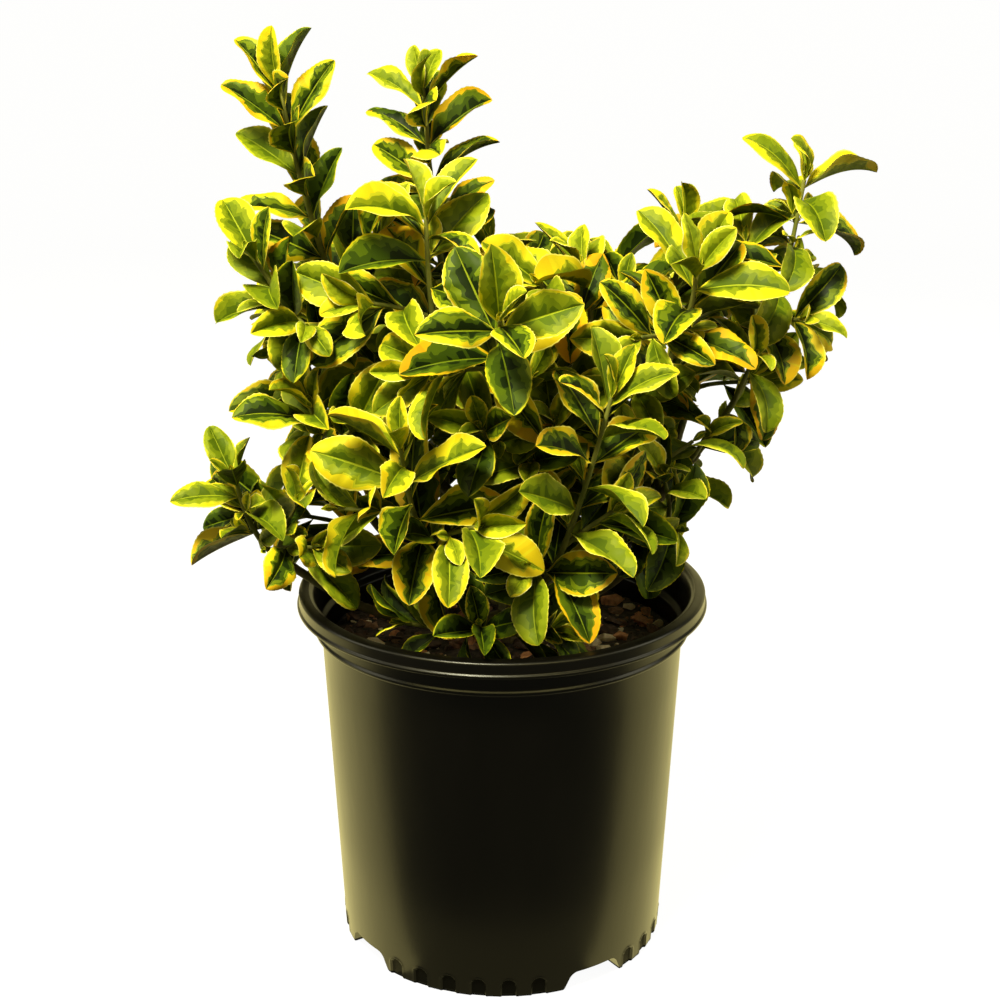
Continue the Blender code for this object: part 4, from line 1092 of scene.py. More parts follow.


# %% [markdown]
# ## Short shoots inside the crown
#
# The boughs also carry short shoots, which close the inside of the crown. Their leaves get little yellow and
# mostly the green and darker shade looks: partly the greener colour of inner leaves, partly painted shade inside
# the crown. They leave each bough on alternate sides, well within the reach of the masses.

# %% Short inner shoots
INNER_PLACES = (0.38, 0.56, 0.74, 0.92)
INNER_LENGTHS = (0.018, 0.030)
INNER_LEAF = 0.042
INNER_TURN = 137.5
INNER_LOWEST = 0.250


def add_inner_shoots(limbs, shoots):
    """Add short shoots along each bough to its mass, and return how many shoots each mass had before."""
    outer = {}
    for mass, (bough, _) in MASSES.items():
        outer[mass] = len(shoots[mass])
        path, radii = limbs[bough]
        dice = random.Random(f"inner {mass}")
        start = dice.uniform(0, 360)
        for number, share in enumerate(INNER_PLACES):
            root, axis = point_along(path, share + dice.uniform(-0.05, 0.05))
            turn = math.radians(start + INNER_TURN * number)
            outward, _ = aim_leaf(root, axis, turn, math.radians(58), 0, 0)
            tip = root + outward * dice.uniform(*INNER_LENGTHS) + Vector((0, 0, 0.008))
            if tip.z < INNER_LOWEST or in_opening(tip) or in_opening(root.lerp(tip, 0.5)):
                continue
            line = curve_through(root, root.lerp(tip, 0.5) - Vector((0, 0, 0.001)), tip, TWIG_STEPS)
            sizes = tapered(line, SIDE_TWIG_RADIUS, TWIG_TIP_RADIUS)
            shoots[mass].append((line, sizes, INNER_LEAF, dice.uniform(0, 90), 0.0))
    return outer

# %% [markdown]
# ## How a leaf lies
#
# A leaf bends back along its length and is folded along its rib, like a shallow boat. The class works out where
# any point of the blade is, from how far along and how far across it lies. The rule that lays leaves out tests
# each one against everything that already stands, with a coarse solid of ten triangles, and turns or shrinks
# it until it is clear.

# %% One leaf's place
class Leaf:
    """A leaf's place and measures. Its blade bends back along its length and is folded along its rib."""

    def __init__(self, root, heading, face, length, width, bend, fold, age, twist=0.0):
        self.root = root
        self.heading = heading.normalized()
        self.face = (face - self.heading * face.dot(self.heading)).normalized()
        self.side = self.heading.cross(self.face)
        self.length = length
        self.half_width = length * width
        self.bend = math.radians(bend)
        self.fold = math.radians(fold)
        self.age = age
        self.twist = math.radians(twist)
        self.shoot = 0
        self.rib = self.rib_line()

    def rib_line(self):
        """Points, upward and sideways directions along the rib, from the twig to the leaf's tip."""
        point = self.root.copy()
        line = []
        for station in range(BLADE_STATIONS + 1):
            s = station / BLADE_STATIONS
            turn = self.bend * (0.3 * s + 0.7 * s * s)
            along = self.heading * math.cos(turn) - self.face * math.sin(turn)
            up = self.face * math.cos(turn) + self.heading * math.sin(turn)
            roll = self.twist * s
            side = self.side * math.cos(roll) + up * math.sin(roll)
            up = up * math.cos(roll) - self.side * math.sin(roll)
            line.append((point.copy(), up, side))
            point += along * self.length / BLADE_STATIONS
        return line

    def half_width_at(self, s):
        """Half the blade's width at a share of the leaf's length."""
        if s <= PETIOLE:
            return self.length * PETIOLE_HALF_WIDTH
        blade = (s - PETIOLE) / (1 - PETIOLE)
        power = math.log(0.5) / math.log(LEAF_WIDEST)
        swell = math.sin(math.pi * min(blade ** power, 1.0))
        return self.length * PETIOLE_HALF_WIDTH * (1 - blade) + self.half_width * max(swell, 0.0) ** LEAF_BLUNTNESS

    def point(self, s, across, lift=0.0):
        """A point of the blade: s along it, across from -1 at one edge to 1 at the other, lift off its face."""
        return self.spot(s, across * self.half_width_at(s), lift)

    def spot(self, s, out, lift):
        """A point beside the rib: s along the leaf, out to the side and lift off its face, in metres."""
        place = min(max(s, 0.0), 1.0) * BLADE_STATIONS
        low = min(int(place), BLADE_STATIONS - 1)
        share = place - low
        (a, up_a, side_a), (b, up_b, side_b) = self.rib[low], self.rib[low + 1]
        up = up_a.lerp(up_b, share).normalized()
        level = side_a.lerp(side_b, share) * (out * math.cos(self.fold))
        return a.lerp(b, share) + level + up * (abs(out) * math.sin(self.fold) + lift)


def leaf_solid(leaf, first, grow=0.0):
    """Corners and faces of a leaf as a closed blade of 10 triangles, from a share of its length on."""
    half = LEAF_THICKNESS / 2 + grow
    wide = FACET_WIDTH + grow / leaf.half_width
    broad, narrow = FACET_PLACES
    corners = [
        leaf.point(first, 0),
        leaf.point(broad, -wide),
        leaf.point(narrow, -wide),
        leaf.point(narrow, wide),
        leaf.point(broad, wide),
        leaf.point(broad, 0, half),
        leaf.point(broad, 0, -half),
    ]
    if first == 0.0:
        corners[0] -= leaf.heading * ROOT_DEPTH
    faces = [(0, 5, 1), (1, 5, 2), (2, 5, 3), (3, 5, 4), (4, 5, 0)]
    faces += [(0, 1, 6), (1, 2, 6), (2, 3, 6), (3, 4, 6), (4, 0, 6)]
    return corners, faces


def sleeve(path, radii, grow):
    """Corners and faces of a five-sided sleeve round a path, to test what touches it."""
    corners, faces = [], []
    sides = 5
    for index, (point, radius) in enumerate(zip(path, radii)):
        along = (path[min(index + 1, len(path) - 1)] - path[max(index - 1, 0)]).normalized()
        across = along.orthogonal().normalized()
        other = along.cross(across)
        for side in range(sides):
            angle = math.tau * side / sides
            corners.append(point + (across * math.cos(angle) + other * math.sin(angle)) * (radius + grow))
    for index in range(len(path) - 1):
        for side in range(sides):
            a = index * sides + side
            b = index * sides + (side + 1) % sides
            faces.append((a, b, b + sides, a + sides))
    return corners, faces


# %% Keeping leaves clear of each other
class Thicket:
    """What already stands, for each new leaf to keep clear of."""

    def __init__(self):
        self.things = []

    def add(self, owner, corners, faces):
        middle = sum(corners, Vector()) / len(corners)
        reach = max((corner - middle).length for corner in corners)
        self.things.append((owner, middle, reach, BVHTree.FromPolygons(corners, faces)))

    def touched_by(self, owner, leaf):
        """Whether a leaf touches anything, apart from its foot, which may touch what is on its own shoot."""
        whole, faces = leaf_solid(leaf, 0.0, CLEARANCE)
        blade, _ = leaf_solid(leaf, LEAF_FOOT, CLEARANCE)
        middle = sum(whole, Vector()) / len(whole)
        reach = max((corner - middle).length for corner in whole)
        whole_tree = BVHTree.FromPolygons(whole, faces)
        blade_tree = BVHTree.FromPolygons(blade, faces)
        for other_owner, other_middle, other_reach, other_tree in self.things:
            if (other_middle - middle).length > reach + other_reach:
                continue
            tree = blade_tree if other_owner == owner else whole_tree
            if tree.overlap(other_tree):
                return True
        return False


def clear_of_pot(leaf):
    """Whether a leaf stays above the mix and off the pot's wall and lip."""
    margin = 0.0015
    stations = 12
    for station in range(1, stations + 1):
        s = station / stations
        for across in (-1, -0.5, 0, 0.5, 1):
            point = leaf.point(s, across)
            radius = math.hypot(point.x, point.y)
            if point.z > POT_HEIGHT + margin:
                continue
            if radius > LIP_RADIUS + margin and point.z > 0:
                continue
            if point.z < SOIL_TOP + margin or radius > wall_radius(SOIL_TOP) - POT_WALL - margin:
                return False
    return True


# %% Laying out the leaves
def leaf_pairs(length, leaf_length, habit=USUAL_HABIT):
    """Depth below the tip, share of full size, and spread of each pair of a shoot, youngest first."""
    depth, step, age = FIRST_DEPTH, FIRST_STEP, 0
    while depth < length - BARE_FOOT:
        size = 1 - (1 - habit["youngest"]) * math.exp(-SIZE_RATE * age)
        spread = habit["spread"] - (habit["spread"] - YOUNGEST_SPREAD) * math.exp(-SPREAD_RATE * age)
        yield age, depth, size, spread
        depth += step
        step = min(step * STEP_GROWTH, habit["internode"] * leaf_length)
        age += 1


def light_at(root):
    """Where a leaf's light comes from: above, outside the crown, and in front unless the leaf is at the back."""
    outside = Vector((root.x - CROWN_MIDDLE[0], root.y - CROWN_MIDDLE[1], 0)).normalized()
    front = (BACK_FULL - root.y) / (BACK_FULL - BACK_START)
    front = max(0.0, min(front, 1.0))
    return outside * SIDE_LIGHT + Vector((0, -FRONT_LIGHT * front, 1))


def away_from(axis, turn):
    """The direction square to a twig at a turn from the left-right line."""
    level = Vector((0, 1, 0)).cross(axis).normalized()
    return level * math.cos(turn) + axis.cross(level) * math.sin(turn)


def bright_side(root, axis, turn):
    """How far a leaf at a turn lies on the bright side of its twig, from 0 to 1."""
    light = light_at(root)
    level_light = Vector((light.x * BRIGHT_SIDEWAYS, light.y, 0)).normalized()
    return max(0.0, away_from(axis, turn).dot(level_light))


def aim_leaf(root, axis, turn, spread, droop, roll, lit=LIT_SHARE):
    """Heading and face of a leaf that leaves its twig at a turn and a spread, and turns its face to the light."""
    outward = away_from(axis, turn)
    heading = axis * math.cos(spread) + outward * math.sin(spread)
    heading = (heading - Vector((0, 0, droop))).normalized()
    face = axis * math.sin(spread) - outward * math.cos(spread)
    light = light_at(root)
    light -= heading * light.dot(heading)
    if light.length > LEAST_LIGHT:
        face = face.lerp(light.normalized(), lit)
    face = Matrix.Rotation(math.radians(roll), 3, heading) @ face
    return heading, face


def grow_leaves(limbs, masses):
    """Lay out every leaf in turn, and keep those that touch nothing."""
    thicket = Thicket()
    for name, (path, radii) in limbs.items():
        thicket.add(name, *sleeve(path, radii, CLEARANCE))
    for name, shoots in masses.items():
        for number, (path, radii, _, _, _) in enumerate(shoots):
            corner_radii = [radius * TWIG_CORNER for radius in radii]
            thicket.add((name, number), *sleeve(path, corner_radii, CLEARANCE))
    leaves = {}
    for name, shoots in masses.items():
        leaves[name] = []
        habit = USUAL_HABIT | HABITS.get(name, {})
        for number, (path, radii, leaf_length, turn, opening) in enumerate(shoots):
            length = path_length(path)
            leaf_length *= habit["size"]
            for age, depth, size, spread in leaf_pairs(length, leaf_length, habit):
                root, axis = point_along(path, 1 - depth / length)
                for half in (0, 1):
                    dice = random.Random(f"{name} {number} {age} {half}")
                    own_turn = turn + 90 * age + 180 * half + dice.uniform(-TURN_PLAY, TURN_PLAY)
                    bright = bright_side(root, axis, math.radians(own_turn)) * min(1.0, 0.5 + 0.35 * age)
                    bright *= habit["bright"]
                    own_spread = spread + opening + BRIGHT_OPENING * bright + dice.uniform(-SPREAD_PLAY, SPREAD_PLAY)
                    own_length = leaf_length * size * dice.uniform(*LENGTH_RANGE)
                    width = LEAF_HALF_WIDTH * dice.uniform(*WIDTH_RANGE)
                    bend = habit["bend"] * dice.uniform(*habit["bend_range"]) + BRIGHT_BEND * bright
                    fold = LEAF_FOLD * dice.uniform(*FOLD_RANGE)
                    roll = dice.uniform(-LEAF_ROLL, LEAF_ROLL)
                    twist = dice.uniform(-LEAF_TWIST, LEAF_TWIST)
                    droop = DROOP_RATE * age
                    for more_turn, more_spread, scale in LEAF_TRIES:
                        heading, face = aim_leaf(
                            root, axis, math.radians(own_turn + more_turn),
                            math.radians(own_spread + more_spread), droop, roll, habit["lit"])
                        leaf = Leaf(root, heading, face, own_length * scale, width, bend, fold, age, twist)
                        if hides_opening(leaf) or not clear_of_pot(leaf):
                            continue
                        if not thicket.touched_by((name, number), leaf):
                            thicket.add((name, number), *leaf_solid(leaf, LEAF_FOOT, CLEARANCE))
                            leaf.shoot = number
                            leaves[name].append(leaf)
                            break
    return thicket, leaves


OUTER = add_inner_shoots(LIMBS, SHOOTS)
THICKET, LEAVES = grow_leaves(LIMBS, SHOOTS)
print("leaves laid out:", sum(len(kept) for kept in LEAVES.values()))

# %% [markdown]
# ## Buds and leaves of the side shoots
#
# At many leaf feet the real plant pushes a side shoot of a few small leaves, and every shoot ends in a bud. They
# fill the crown without widening it: each one stays inside the reach of the grown leaf beside it.

# %% Small growth
AXIL_SHARE = 0.28
BARE_AXILS = ("foliage_left_spire",)
AXIL_LENGTHS = (0.013, 0.023)
BUD_LENGTH = 0.010


def grow_small(masses, leaves, thicket):
    """Add buds at the tips, and pairs of small leaves at the feet of grown leaves, where there is room."""
    small = {name: [] for name in masses}
    stalks = []
    for name, shoots in masses.items():
        for number, (path, radii, leaf_length, turn, opening) in enumerate(shoots):
            length = path_length(path)
            leaf_length *= LEAF_SHARE
            _, axis = point_along(path, 1.0)
            for half in (0, 1):
                dice = random.Random(f"bud {name} {number} {half}")
                heading, face = aim_leaf(path[-1], axis, math.radians(turn + 90 + 180 * half), math.radians(14), 0, 0)
                bud = Leaf(path[-1] - axis * 0.001, heading, face, BUD_LENGTH, 0.24, -20, 30, -1)
                small[name].append(bud)
            for age, depth, size, spread in leaf_pairs(length, leaf_length):
                if age < 3:
                    continue
                root, axis = point_along(path, 1 - depth / length)
                for half in (0, 1):
                    dice = random.Random(f"axil {name} {number} {age} {half}")
                    if dice.random() > AXIL_SHARE or (number == 0 and name in BARE_AXILS):
                        continue
                    side = turn + 90 * age + 180 * half
                    outward, _ = aim_leaf(root, axis, math.radians(side), math.radians(34), 0, 0)
                    stalk = dice.uniform(0.003, 0.008)
                    tip = root + outward * stalk
                    kept = 0
                    for leafy in range(4):
                        own_turn = side + 45 + 90 * leafy + dice.uniform(-15, 15)
                        own_spread = (22 if leafy < 2 else 44) + dice.uniform(-6, 6)
                        own_length = dice.uniform(*AXIL_LENGTHS) * (1.0 if leafy < 2 else 0.75)
                        heading, face = aim_leaf(tip, outward, math.radians(own_turn), math.radians(own_spread), 0,
                                                 dice.uniform(-20, 20))
                        leaf = Leaf(tip, heading, face, own_length, 0.27, 30, 22, 0)
                        if hides_opening(leaf) or not clear_of_pot(leaf):
                            continue
                        if not thicket.touched_by((name, number), leaf):
                            thicket.add((name, number), *leaf_solid(leaf, LEAF_FOOT, CLEARANCE))
                            leaf.shoot = number
                            small[name].append(leaf)
                            kept += 1
                    if kept:
                        stalks.append(([root, root.lerp(tip, 0.5), tip], [0.0010, 0.0009, 0.0008]))
    return small, stalks


SMALL, STALKS = grow_small(SHOOTS, LEAVES, THICKET)
print("small leaves:", sum(len(kept) for kept in SMALL.values()), "stalks:", len(STALKS))

# %% [markdown]
# ## Edges that wave and curl
#
# A real blade is never flat: its edges wave, and curl up or down. Every leaf draws a form of its own. The coarse
# solids that kept the leaves apart knew nothing of this, so the finished blades are tested once more, as open
# sheets, small ones first. A blade that crosses another is flattened, then bent or shrunk, and where it still
# crosses it is left out.

# %% Form of a blade
BLADE_SLIM = 0.95
BLADE_WIDEST = 0.58
TIP_ROUND = 1.85
TIP_FORMS = (0.52, 0.84)
CURL_RANGE = (-0.30, 0.30)
WAVE_RANGE = (0.04, 0.20)
FLATTENED = 0.15


def blade_width(s, tip):
    """Half the blade's width as a share of its widest: a wedge at the foot, and a tip from round to blunt."""
    blade = max(s - PETIOLE, 0.0) / (1 - PETIOLE)
    if blade < BLADE_WIDEST:
        return math.sin(math.pi / 2 * blade / BLADE_WIDEST) ** 0.95
    past = min((blade - BLADE_WIDEST) / (1 - BLADE_WIDEST), 1.0)
    return (1 - past ** TIP_ROUND) ** tip


def set_form(leaf, dice):
    """Draw a leaf's form: where its edge wave starts, the wave's size, its curl, and how blunt its tip is."""
    leaf.wave = dice.uniform(0, math.tau)
    leaf.wave_size = dice.uniform(*WAVE_RANGE)
    leaf.curl = dice.uniform(*CURL_RANGE)
    leaf.tip_form = dice.uniform(*TIP_FORMS)
    leaf.kept = True


def blade_point(leaf, s, side, across, ripple=0.0, tooth=1.0):
    """A point of the finished blade, s along it and across from 0 at the rib to 1 at the edge of one side."""
    width = leaf.half_width * BLADE_SLIM * blade_width(s, leaf.tip_form)
    width += leaf.length * PETIOLE_HALF_WIDTH * (1 - s)
    pillow = 0.10 * math.sin(math.pi * across)
    edge_wave = leaf.wave_size * math.sin(math.tau * 1.7 * s + leaf.wave + side) * across * across
    lift = pillow + edge_wave + ripple + leaf.curl * across ** 3
    return leaf.spot(s, side * across * tooth * width, lift * width)


# %% Leaves that cross
SHEET_STATIONS = (0.32, 0.44, 0.56, 0.68, 0.80, 0.90, 0.99)
SHEET_PLACES = ((-1, 1.0), (-1, 0.5), (1, 0.0), (1, 0.5), (1, 1.0))
NEAR = 0.055
# Ways to clear a blade of others: a change of bend in degrees, and a share of its size
SETTLE_TRIES = (
    (0, 1.0), (-10, 1.0), (10, 1.0), (-20, 1.0), (20, 1.0), (0, 0.86), (-15, 0.86), (15, 0.86), (-30, 0.90),
    (30, 0.90), (0, 0.72), (-20, 0.72), (20, 0.72),
)


def sheet(leaf):
    """A blade as an open sheet, without its foot, to test what it crosses."""
    corners = [blade_point(leaf, s, side, across) for s in SHEET_STATIONS for side, across in SHEET_PLACES]
    wide = len(SHEET_PLACES)
    faces = [
        (row * wide + k, row * wide + k + 1, (row + 1) * wide + k + 1, (row + 1) * wide + k)
        for row in range(len(SHEET_STATIONS) - 1) for k in range(wide - 1)
    ]
    return BVHTree.FromPolygons(corners, faces)


def settle(leaves):
    """Flatten and bend blades that cross others, small ones first, and leave out those that find no room."""
    middles = KDTree(len(leaves))
    for number, leaf in enumerate(leaves):
        middles.insert(leaf.spot(0.6, 0.0, 0.0), number)
    middles.balance()
    sheets = [sheet(leaf) for leaf in leaves]

    def crosses(number):
        near = middles.find_range(leaves[number].spot(0.6, 0.0, 0.0), NEAR)
        return any(other != number and leaves[other].kept and sheets[number].overlap(sheets[other])
                   for _, other, _ in near)

    moved = 0
    for number in sorted(range(len(leaves)), key=lambda number: leaves[number].length):
        if not crosses(number):
            continue
        leaf = leaves[number]
        bend, length, half_width = leaf.bend, leaf.length, leaf.half_width
        leaf.wave_size *= FLATTENED
        leaf.curl *= FLATTENED
        for more, share in SETTLE_TRIES:
            leaf.bend = bend + math.radians(more)
            leaf.length = length * share
            leaf.half_width = half_width * share
            leaf.rib = leaf.rib_line()
            sheets[number] = sheet(leaf)
            if not crosses(number):
                moved += 1
                break
        else:
            leaf.kept = False
    gone = [leaf for leaf in leaves if not leaf.kept]
    print("blades moved:", moved, "left out:", len(gone))
    print("lengths left out in mm:", sorted(round(leaf.length * 1000) for leaf in gone))


for kind, group in (("grown", LEAVES), ("small", SMALL)):
    for name, kept in group.items():
        for number, leaf in enumerate(kept):
            set_form(leaf, random.Random(f"form {kind} {name} {number}"))
settle([leaf for group in (LEAVES, SMALL) for kept in group.values() for leaf in kept if leaf.age >= 0])

# %% [markdown]
# ## The colours of a leaf
#
# A leaf has a pale rib, an olive heart with darker and lighter flecks that run out along the veins, a lime
# border and a yellow margin with a thin pale edge, which is a painted highlight. The rows of the mesh sweep
# forward from the rib, as the veins do, and where each colour ends the mesh has a jagged line. So each face keeps
# one plain colour, the borders look feathered, and no image is needed. A look says which greens and yellows a
# leaf has.

# %% Leaf colours
LEAF_COLOURS = {
    "deep_green": (0.007, 0.016, 0.001),
    "dark_green": (0.034, 0.062, 0.002),
    "rich_green": (0.076, 0.120, 0.003),
    "mid_green": (0.140, 0.190, 0.004),
    "fresh_green": (0.215, 0.262, 0.006),
    "light_green": (0.305, 0.358, 0.010),
    "lime": (0.470, 0.480, 0.014),
    "lemon": (0.715, 0.600, 0.012),
    "yellow": (0.720, 0.535, 0.008),
    "gold": (0.730, 0.450, 0.008),
    "amber": (0.700, 0.370, 0.008),
    # The last two are painted highlights, for the thin strip along a leaf's edge.
    "straw_painted_highlight": (0.880, 0.780, 0.130),
    "pale_edge_painted_highlight": (0.920, 0.860, 0.340),
}
COLOUR_ORDER = list(LEAF_COLOURS)
# Each look: rib, dark flecks, heart, light flecks, border of the heart, lime border, margin, its tip, and the
# edge, which is a painted highlight
LOOKS = {
    "young": ("light_green", "mid_green", "fresh_green", "light_green", "light_green", "lime", "lemon", "lemon", "pale_edge_painted_highlight"),
    "bright": ("light_green", "rich_green", "mid_green", "fresh_green", "fresh_green", "lime", "lemon", "yellow",
               "straw_painted_highlight"),
    "golden": ("fresh_green", "deep_green", "dark_green", "mid_green", "rich_green", "light_green", "yellow", "gold",
               "straw_painted_highlight"),
    "old_gold": ("mid_green", "deep_green", "dark_green", "rich_green", "rich_green", "mid_green", "gold", "amber",
                 "yellow"),
    "green": ("fresh_green", "rich_green", "mid_green", "fresh_green", "fresh_green", "light_green", "lime", "lemon",
              "straw_painted_highlight"),
    # The shade look is a darker copy of the green look, for low and inner leaves: partly the deeper green of old
    # leaves, partly painted shade.
    "shade": ("mid_green", "deep_green", "dark_green", "rich_green", "rich_green", "mid_green", "light_green", "lime",
              "lemon"),
}
# How yellow each mass is, from 0, all green, to 1
GOLD = {
    "foliage_left_spire": 0.95, "foliage_centre_spire": 0.80, "foliage_right_spire": 0.70,
    "foliage_left_upper": 0.30, "foliage_centre_front": 1.20, "foliage_front_middle": 0.80,
    "foliage_right_middle": 0.90, "foliage_right_back": 0.95, "foliage_right_upper": 0.95,
    "foliage_left_middle": 0.45, "foliage_left_low": 0.70, "foliage_front_left": 1.00,
    "foliage_front_right": 0.45, "foliage_right_low": 0.55, "foliage_right_front": 0.55,
    "foliage_front_low": 0.15, "foliage_inner_front": 0.30, "foliage_inner_back": 0.25,
}
USUAL_GOLD = 0.45
MARGINS = {"young": 0.32, "bright": 0.31, "golden": 0.34, "old_gold": 0.32, "green": 0.16, "shade": 0.12}
# Leaves of the greener masses are darker low down, most below the lower of these heights: partly the deeper
# green of old leaves, partly painted shade low in the crown
GREEN_HEIGHTS = (0.235, 0.305)
GREEN_GOLD = 0.80
LOW_PAINTED_SHADE = 0.75


def leaf_material(name, colour):
    """A plain leaf colour with a waxy gloss."""
    return principled(name, colour, 0.52, Specular_IOR_Level=0.10)


def choose_look(leaf, gold, dice):
    """A leaf's look and the share of its half width that is yellow, from its age and its mass."""
    chance = dice.random()
    # Low leaves of the greener masses lose yellow and take the darker shade look more often: painted shade low in the
    # crown.
    low = (1 - smooth_step(*GREEN_HEIGHTS, leaf.root.z)) * max(1 - gold, 0.0)
    gold *= 1 - GREEN_GOLD * low
    if leaf.age <= 0:
        look = "young" if chance < 0.25 + 0.5 * gold else "bright"
    elif chance < 0.05 + 0.75 * gold:
        fresh = leaf.age <= 2 + gold
        look = dice.choice(("bright", "bright", "golden") if fresh else ("golden", "golden", "old_gold"))
    elif chance < 0.80 + 0.15 * gold - LOW_PAINTED_SHADE * low:
        look = "green"
    else:
        look = "shade"
    margin = MARGINS[look] * dice.uniform(0.55, 1.5) * (0.75 + 0.6 * gold)
    return look, min(margin, 0.52)


# %% One leaf's mesh
LEAF_ROWS = 28
HIDDEN_ROWS = 20
SMALL_ROWS = 14
HIDDEN_DEPTH = 0.060
TEETH_DEPTH = 0.018
VEIN_SWEEP = 0.12
FLECK_PITCH = 0.42
FLECK_RARITY = 0.30
FLAME_RANGE = (0.30, 0.62)


class Wander:
    """A smooth random line between -1 and 1, from a few waves of random phase."""

    def __init__(self, dice):
        waves = ((1.6, 0.45), (3.7, 0.33), (7.9, 0.22))
        self.waves = [(pitch, size, dice.uniform(0, math.tau)) for pitch, size in waves]

    def at(self, s):
        return sum(size * math.sin(math.tau * pitch * s + phase) for pitch, size, phase in self.waves)


def smooth_step(low, high, value):
    share = min(max((value - low) / (high - low), 0.0), 1.0)
    return share * share * (3 - 2 * share)


def colour_lines(s, margin, heart_end, wanders, flame, jag):
    """Where each colour ends at a share of the leaf's length, as shares of the half width from rib to edge."""
    wander, dark_wander, light_wander = wanders
    heart = 1 - margin * (1 + 0.55 * wander.at(s)) * (0.55 + 0.45 * smooth_step(0.1, 0.5, s))
    heart *= smooth_step(heart_end + 0.20, heart_end, s) * (0.55 + 0.45 * smooth_step(0.02, 0.20, s))
    border = heart * (0.86 + 0.07 * jag[0])
    heart *= 1 + 0.09 * jag[1] * (0.4 + margin)
    lime = heart + 0.05 + 0.10 * margin * (1 + jag[2])
    rib = 0.024 + 0.030 * (1 - s)
    dark = border * min(max(flame + 0.42 * dark_wander.at(s) + 0.10 * jag[1] - 0.30 * s * s, 0.04), 0.92)
    green = dark + (border - dark) * min(max(0.55 + 0.50 * light_wander.at(s) + 0.12 * jag[2], 0.05), 0.95)
    # The strip from 0.95 of the half width to the edge is the thin pale edge, a painted highlight.
    lines = [rib, dark, green, border, heart, lime, 0.950, 1.0]
    for index in range(1, len(lines)):
        lines[index] = min(max(lines[index], lines[index - 1] + 0.012), 0.93 + 0.01 * index)
    lines[-1] = 1.0
    return lines


def add_leaf(corners, faces, shades, leaf, look, margin, rows, dice):
    """Add one leaf's mesh: rows that sweep forward like veins, and strips that end where its colours do."""
    rib, dark, heart, light, border, lime, yellow, tip_yellow, edge = (
        COLOUR_ORDER.index(name) for name in LOOKS[look])
    # The last strip, the edge, is paler than the margin: a painted highlight along the blade's edge.
    strips = [rib, dark, heart, light, border, lime, yellow, edge]
    seed = dice.uniform(0, 100)
    flame = dice.uniform(*FLAME_RANGE)
    halves = []
    for side in (-1, 1):
        wanders = (Wander(dice), Wander(dice), Wander(dice))
        side_margin = margin * dice.uniform(0.6, 1.4)
        heart_end = dice.uniform(0.94, 1.0) - 0.7 * side_margin * dice.random()
        lines = []
        for row in range(rows):
            jag = (dice.uniform(-1, 1), dice.uniform(-1, 1), dice.uniform(-1, 1))
            lines.append(colour_lines(row / rows, side_margin, heart_end, wanders, flame, jag))
        halves.append((side, lines))
    first = len(corners)
    per_row = 2 * len(strips) + 1
    for row in range(rows):
        start = row / rows
        sweep = VEIN_SWEEP * math.sin(math.pi * start)
        tooth = 1 + (TEETH_DEPTH if row % 2 else -TEETH_DEPTH) * smooth_step(0.12, 0.3, start)
        points = []
        for side, lines in halves:
            half = []
            for across in lines[row]:
                s = start + sweep * across
                ripple = 0.025 * math.sin(math.tau * row / 4) * math.sin(math.pi * across)
                half.append(blade_point(leaf, s, side, across, ripple, tooth if across > 0.99 else 1.0))
            points.append(half)
        ridge = leaf.spot(start, 0.0, -leaf.length * 0.004 * smooth_step(0.1, 0.2, start))
        corners.extend(list(reversed(points[0])) + [ridge] + points[1])
    corners.append(leaf.spot(1.0, 0.0, 0.0))
    tip = len(corners) - 1
    order = [(0, number) for number in reversed(range(len(strips)))] + [(1, number) for number in range(len(strips))]
    for row in range(rows):
        for place, (side, number) in enumerate(order):
            a = first + row * per_row + place
            if row == rows - 1:
                faces.append((a, a + 1, tip))
            else:
                faces.append((a, a + 1, a + 1 + per_row, a + per_row))
            shade = strips[number]
            if number in (5, 6):
                warm = row / rows + 0.35 * noise.noise(Vector((row * 0.4, side * 7, seed + 31)))
                if number == 6 and warm > 0.62:
                    shade = tip_yellow
                elif number == 5 and noise.noise(Vector((row * FLECK_PITCH, side * 9, seed + 19))) > 0.25:
                    shade = border
            if number in (1, 3) and noise.noise(Vector((row * FLECK_PITCH, number + side * 9, seed))) > FLECK_RARITY:
                shade = heart
            shades.append(shade)


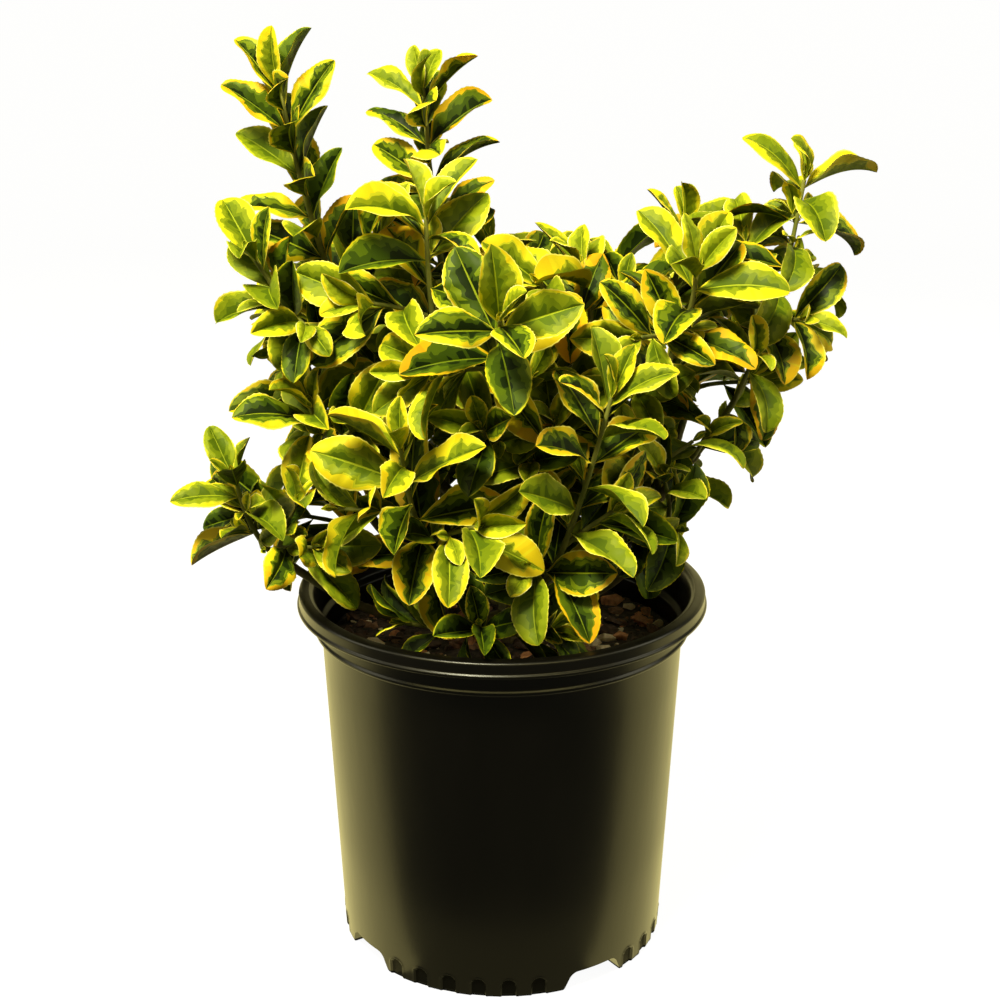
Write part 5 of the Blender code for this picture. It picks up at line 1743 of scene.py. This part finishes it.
# %% Leaf pieces
REGIONS = {
    "leaves_left_top": ("foliage_left_spire", "foliage_left_upper", "foliage_left_far"),
    "leaves_left_low": ("foliage_left_middle", "foliage_left_low", "foliage_left_rim"),
    "leaves_centre": ("foliage_centre_spire", "foliage_centre_front", "foliage_right_middle"),
    "leaves_inner": ("foliage_inner_front", "foliage_inner_back"),
    "leaves_front": ("foliage_front_middle", "foliage_front_left", "foliage_front_right", "foliage_front_low"),
    "leaves_right_top": ("foliage_right_spire", "foliage_right_upper", "foliage_right_back", "foliage_right_far"),
    "leaves_right_low": ("foliage_right_low", "foliage_right_front", "foliage_right_rim"),
    "leaves_back": ("foliage_back_left", "foliage_back_right", "foliage_back_middle", "foliage_back_far",
                    "foliage_back_low"),
}


def make_leaves():
    """One mesh of leaves for each region of the crown."""
    surfaces = [leaf_material(name, colour) for name, colour in LEAF_COLOURS.items()]
    total = 0
    for region, names in REGIONS.items():
        corners, faces, shades = [], [], []
        for name in names:
            gold = GOLD.get(name, USUAL_GOLD)
            for number, leaf in enumerate(LEAVES[name] + SMALL[name]):
                if not leaf.kept:
                    continue
                dice = random.Random(f"look {name} {number}")
                # Inner shoots' leaves get a tenth of the mass's yellow, so mostly the green and shade looks: partly
                # painted shade inside the crown.
                inner = leaf.shoot >= OUTER[name]
                look, margin = choose_look(leaf, 0.1 * gold if inner else gold, dice)
                rows = HIDDEN_ROWS if inner or leaf.root.y > HIDDEN_DEPTH else LEAF_ROWS
                if leaf.length < 0.024:
                    rows = SMALL_ROWS
                add_leaf(corners, faces, shades, leaf, look, margin, rows, dice)
        mesh = make_mesh(region, corners, faces)
        thing = add_object(region, mesh, surfaces)
        mesh.polygons.foreach_set("material_index", shades)
        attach(thing, "root")
        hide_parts(*names)
        triangles = sum(len(face) - 2 for face in faces)
        total += triangles
        print(region, "triangles:", triangles)
    print("leaf triangles in all:", total)


make_leaves()

# %% [markdown]
# ## Green twigs
#
# The shoots are green and swell a little at even steps along them. They are round tubes like the boughs, but
# smoother, and the stalks of the side shoots are joined to them.

# %% Twigs
def make_twigs():
    """One mesh of every shoot's twig and every side shoot's stalk."""
    corners, faces = [], []
    seed = 0
    for shoots in SHOOTS.values():
        for path, radii, _, _, _ in shoots:
            seed += 1
            relief_tube(corners, faces, path, radii, 10, 0.0016, 0.05, seed * 3.7)
    for path, radii in STALKS:
        seed += 1
        relief_tube(corners, faces, path, radii, 6, 0.0012, 0.02, seed * 3.7)
    green = uneven("green_twig", ((0.095, 0.112, 0.014), (0.215, 0.215, 0.034)), (0.65, 0.75),
                   140.0, 0.4, 0.2, 0.2, Specular_IOR_Level=0.2)
    twigs = add_object("green_twigs", make_mesh("green_twigs", corners, faces), [green])
    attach(twigs, "root")
    print("twig faces:", len(faces))


make_twigs()
